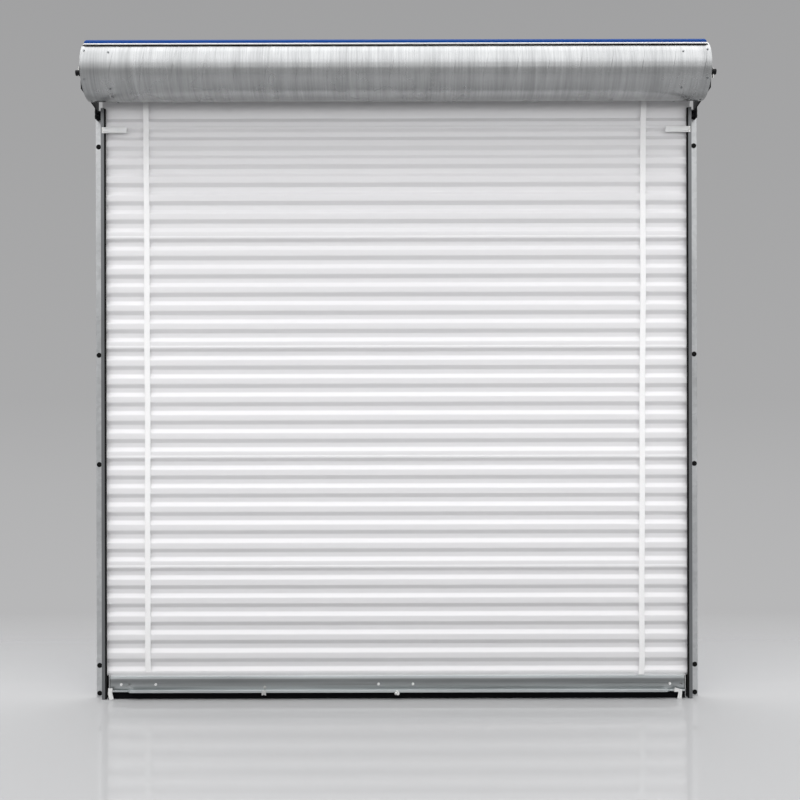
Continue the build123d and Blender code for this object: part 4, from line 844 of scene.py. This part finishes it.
def make_lock_seam():
    """Flat lock seam that winds along the barrel."""
    count = int((2 * BARREL_HALF_LENGTH / LOCK_PITCH) * LOCK_SIDES)
    section = [(-LOCK_HALF_WIDTH, -LOCK_ROOT), (-LOCK_HALF_WIDTH + LOCK_EDGE, LOCK_HEIGHT),
               (LOCK_HALF_WIDTH - LOCK_EDGE, LOCK_HEIGHT), (LOCK_HALF_WIDTH, -LOCK_ROOT)]
    points = []
    for step in range(count + 1):
        x = -BARREL_HALF_LENGTH + LOCK_PITCH * step / LOCK_SIDES
        for shift, height in section:
            place = max(-BARREL_HALF_LENGTH, min(BARREL_HALF_LENGTH, x + shift))
            points.append(around(place, 360 * step / LOCK_SIDES, BARREL_RADIUS + height))
    faces = tube_faces(0, count + 1, len(section))
    add_piece("barrel_seam", points, faces, [BARREL_ZINC], "barrel", smooth=False)


# Guides

def make_plugs():
    """Black domed plugs in the anchor holes of the guides' flanges."""
    rings = PLUG_STEM + PLUG_HEAD
    turns = [2 * math.pi * step / PLUG_SIDES for step in range(PLUG_SIDES)]
    for side, name in SIDES:
        points, faces = [], []
        for height in ANCHOR_HEIGHTS:
            start = len(points)
            for radius, depth in rings:
                points += [at(side * ANCHOR_X + radius * math.cos(turn), depth,
                              height + radius * math.sin(turn)) for turn in turns]
            tip = len(points)
            points.append(at(side * ANCHOR_X, PLUG_TIP, height))
            faces += wall_faces(start, len(rings), PLUG_SIDES, mirrored=True)
            last = tip - PLUG_SIDES
            faces += [(last + step, last + (step + 1) % PLUG_SIDES, tip)
                      for step in range(PLUG_SIDES)]
            faces.append(tuple(range(start, start + PLUG_SIDES))[::-1])
        add_piece(f"hole_plugs_{name}", points, faces, [BLACK_PLASTIC], "frame")


# Nodes that stay

def guide_lip_shade():
    """Zinc with painted shade: the front lip is darker than the flange."""
    lip_depths = (0.040, 0.030)
    lip_shade_grey = (0.19, 0.195, 0.20)
    made = GUIDE_ZINC.copy()
    made.name = "guide_lip_shade"
    tree = made.node_tree
    colour = tree.nodes["Principled BSDF"].inputs["Base Color"]
    # Painted shade: the front lip is mixed towards a dark grey, as though it lay in shadow
    lip = spread(tree, axes(tree)["Y"], [WALL_Y - depth for depth in lip_depths], (1.0, 0.0))
    tree.links.new(mixed(tree, lip, colour.links[0].from_socket, lip_shade_grey), colour)
    return made


def bar_painted_light():
    """Bar metal with painted light: a painted highlight along the lip and the foot, painted shade
    in the channel between, and painted shade at the ends.
    """
    # Shares of the colour by height: above one a painted highlight, below one painted shade
    highlight_and_shade_by_height = [(0.0, 1.2), (0.10, 1.2), (0.30, 1.0), (0.507, 0.7), (0.643, 0.55),
                     (0.745, 0.6), (0.813, 0.8), (0.868, 1.45), (1.0, 1.5)]
    end_shade_distances = (0.006, 0.001)
    end_shade = (0.03, 0.03, 0.03)
    made = BAR_METAL.copy()
    made.name = "bar_painted_light"
    tree = made.node_tree
    colour = tree.nodes["Principled BSDF"].inputs["Base Color"]
    place = axes(tree)
    height = spread(tree, place["Z"], (BAR_BOTTOM, BAR_TOP))
    # Painted highlight and painted shade by height
    lit_and_shaded = mixed(tree, None, colour.links[0].from_socket,
                   grey_ramp(tree, height, highlight_and_shade_by_height), blend="MULTIPLY")
    # Painted shade over the last few millimetres of each end, beside the guides
    end = spread(tree, combine(tree, "ABSOLUTE", place["X"]),
                 [BAR_HALF_LENGTH - distance for distance in end_shade_distances])
    tree.links.new(mixed(tree, end, lit_and_shaded, end_shade), colour)
    return made


def dress(name, material, edge):
    """Gives a node of the model its material and, where asked, fine edges."""
    node = NODES[name]
    mesh = node.data
    mesh.materials.clear()
    mesh.materials.append(material)
    if edge:
        if "custom_normal" in mesh.attributes:
            mesh.attributes.remove(mesh.attributes["custom_normal"])
        mesh.polygons.foreach_set("use_smooth", [False] * len(mesh.polygons))
        weld = node.modifiers.new("weld", "WELD")
        weld.merge_threshold = WELD_DISTANCE
        bevel = node.modifiers.new("edge", "BEVEL")
        bevel.width = edge
        bevel.segments = 2
        bevel.limit_method = "ANGLE"
        bevel.angle_limit = math.radians(BEVEL_ANGLE)


def dress_nodes():
    """Materials and edges of every node that the scene doesn't replace."""
    finishes = [
        (guide_lip_shade(), FINE_EDGE, ["guide_left", "guide_right"]),
        (bar_painted_light(), BAR_EDGE, ["bottom_bar"]),
        (BLACK_PLASTIC, PLATE_EDGE, ["wear_strips_left", "wear_strips_right"]),
        (BLACK_PAINT, PLATE_EDGE, ["bracket_left", "bracket_right"]),
        (BLACK_PAINT, FINE_EDGE, ["bracket_cleats", "cleat_bolts", "cleat_nuts", "axle_collars",
                                  "collar_screws"]),
        (BLACK_PAINT, None, ["axle"]),
        (STOP_WHITE, FORMED_EDGE, ["stop_bar_left", "stop_bar_right"]),
        (TAB_WHITE, PLATE_EDGE, ["end_tabs"]),
        (RUBBER, RUBBER_EDGE, ["bottom_seal"]),
        (ZINC_PLATE, FINE_EDGE, ["stop_rivets", "axle_end_pins", "anchor_set_screws", "bar_nuts",
                                 "flange_clip"]),
        (ZINC_PLATE, HEAD_EDGE, ["clamp_screws", "clip_screw"]),
        (ZINC_PLATE, None, ["lift_handle_left", "lift_handle_centre"]),
        (BRIGHT_ZINC, HEAD_EDGE, ["bar_bolts"]),
        (DARK_ZINC, HEAD_EDGE, ["drum_screws", "winding_screws"]),
        (DARK_ZINC, FINE_EDGE, ["clamp_strip"]),
        (WHEEL_STEEL, PLATE_EDGE, ["drum_wheels", "winding_wheels"]),
        (BEARING_STEEL, FINE_EDGE, ["barrel_bearings"]),
        (CAST_IRON, FORMED_EDGE, ["spring_anchors"]),
        (SPRING_STEEL, None, ["spring_left", "spring_right"]),
    ]
    for material, edge, names in finishes:
        for name in names:
            dress(name, material, edge)


# Studio

def make_floor():
    """Pale floor, glossy at a slant, that fades into the backdrop."""
    mesh = bpy.data.meshes.new("floor")
    corners = [(-1, -1), (1, -1), (1, 1), (-1, 1)]
    mesh.from_pydata([(FLOOR_REACH * x, FLOOR_REACH * y, 0) for x, y in corners], [],
                     [(0, 1, 2, 3)])
    made, tree, shader = new_material("floor")
    tree.links.new(mixed(tree, shown(tree), FLOOR_UNLIT, FLOOR_SHOWN),
                   shader.inputs["Base Color"])
    shader.inputs["Roughness"].default_value = FLOOR_ROUGHNESS
    shader.inputs["Specular IOR Level"].default_value = 0.0
    gloss = tree.nodes.new("ShaderNodeBsdfGlossy")
    gloss.inputs["Roughness"].default_value = GLOSS_ROUGHNESS
    gloss.inputs["Color"].default_value = (GLOSS_GREY, GLOSS_GREY, GLOSS_GREY, 1)
    slant = tree.nodes.new("ShaderNodeLayerWeight")
    share = spread(tree, slant.outputs["Facing"], GLOSS_SLANTS, (0.0, GLOSS_SHARE))
    polished = blended(tree, share, shader.outputs["BSDF"], gloss.outputs["BSDF"])
    coordinates = tree.nodes.new("ShaderNodeTexCoord")
    distance = tree.nodes.new("ShaderNodeVectorMath")
    distance.operation = "LENGTH"
    tree.links.new(coordinates.outputs["Object"], distance.inputs[0])
    gone = combine(tree, "MAXIMUM", spread(tree, axes(tree)["Y"], FADE_BEHIND),
                   spread(tree, distance.outputs["Value"], FADE_AROUND))
    clear = tree.nodes.new("ShaderNodeBsdfTransparent")
    output = tree.nodes["Material Output"]
    tree.links.new(blended(tree, gone, polished, clear.outputs["BSDF"]),
                   output.inputs["Surface"])
    mesh.materials.append(made)
    floor = bpy.data.objects.new("floor", mesh)
    bpy.context.scene.collection.objects.link(floor)


def make_world():
    """A grey backdrop for the rays that show it, and a soft sky for the light."""
    world = bpy.data.worlds.new("studio")
    bpy.context.scene.world = world
    world.use_nodes = True
    tree = world.node_tree
    tree.nodes.clear()
    height = spread(tree, axes(tree, "Generated")["Z"], (-1, 1))
    sources = []
    for stops, strength in ((LIGHT_STOPS, LIGHT_STRENGTH), (BACKDROP_STOPS, 1.0)):
        source = tree.nodes.new("ShaderNodeBackground")
        tree.links.new(grey_ramp(tree, height, stops, SKY_BLUE_SHARE), source.inputs["Color"])
        source.inputs["Strength"].default_value = strength
        sources.append(source.outputs["Background"])
    output = tree.nodes.new("ShaderNodeOutputWorld")
    tree.links.new(blended(tree, shown(tree), *sources), output.inputs["Surface"])


def make_lamp(name, elevation, distance, aim, width, height, power):
    """Soft box in front of the door, at an angle above the point that it faces."""
    turn = math.radians(elevation)
    place = Vector((0, LAMP_Y - distance * math.cos(turn), aim + distance * math.sin(turn)))
    data = bpy.data.lights.new(name, "AREA")
    data.shape = "RECTANGLE"
    data.size, data.size_y = width, height
    data.energy = power
    lamp = bpy.data.objects.new(name, data)
    lamp.location = place
    lamp.rotation_euler = (Vector((0, LAMP_Y, aim)) - place).to_track_quat("-Z", "Y").to_euler()
    bpy.context.scene.collection.objects.link(lamp)


def make_camera():
    """The photograph's viewpoint and lens."""
    data = bpy.data.cameras.new("camera")
    data.sensor_width = SENSOR_WIDTH
    data.lens = SENSOR_WIDTH * FOCAL_PIXELS / IMAGE_PIXELS
    camera = bpy.data.objects.new("camera", data)
    camera.location = (CAMERA_X, WALL_Y - CAMERA_DEPTH, CAMERA_Z)
    camera.rotation_euler = (math.radians(90), math.radians(CAMERA_ROLL), 0)
    bpy.context.scene.collection.objects.link(camera)
    bpy.context.scene.camera = camera


make_camera()
make_world()
make_floor()
make_lamp("low_key", elevation=22, distance=6.5, aim=2.2, width=8.0, height=3.0, power=62)
make_lamp("high_key", elevation=55, distance=6.5, aim=2.2, width=8.0, height=4.0, power=82)
make_lamp("front", elevation=4, distance=8.0, aim=1.4, width=8.0, height=4.0, power=16)
make_lamp("top", elevation=100, distance=4.5, aim=2.8, width=8.0, height=5.0, power=155)
bpy.context.scene.view_settings.view_transform = "Standard"

make_curtain()
make_tapes()
make_wrap()
make_bead()
# Black strip that stands for the shadow under the wrap's edge
make_shade_strip()
make_barrel()
make_lock_seam()
make_knot()
make_plugs()
dress_nodes()
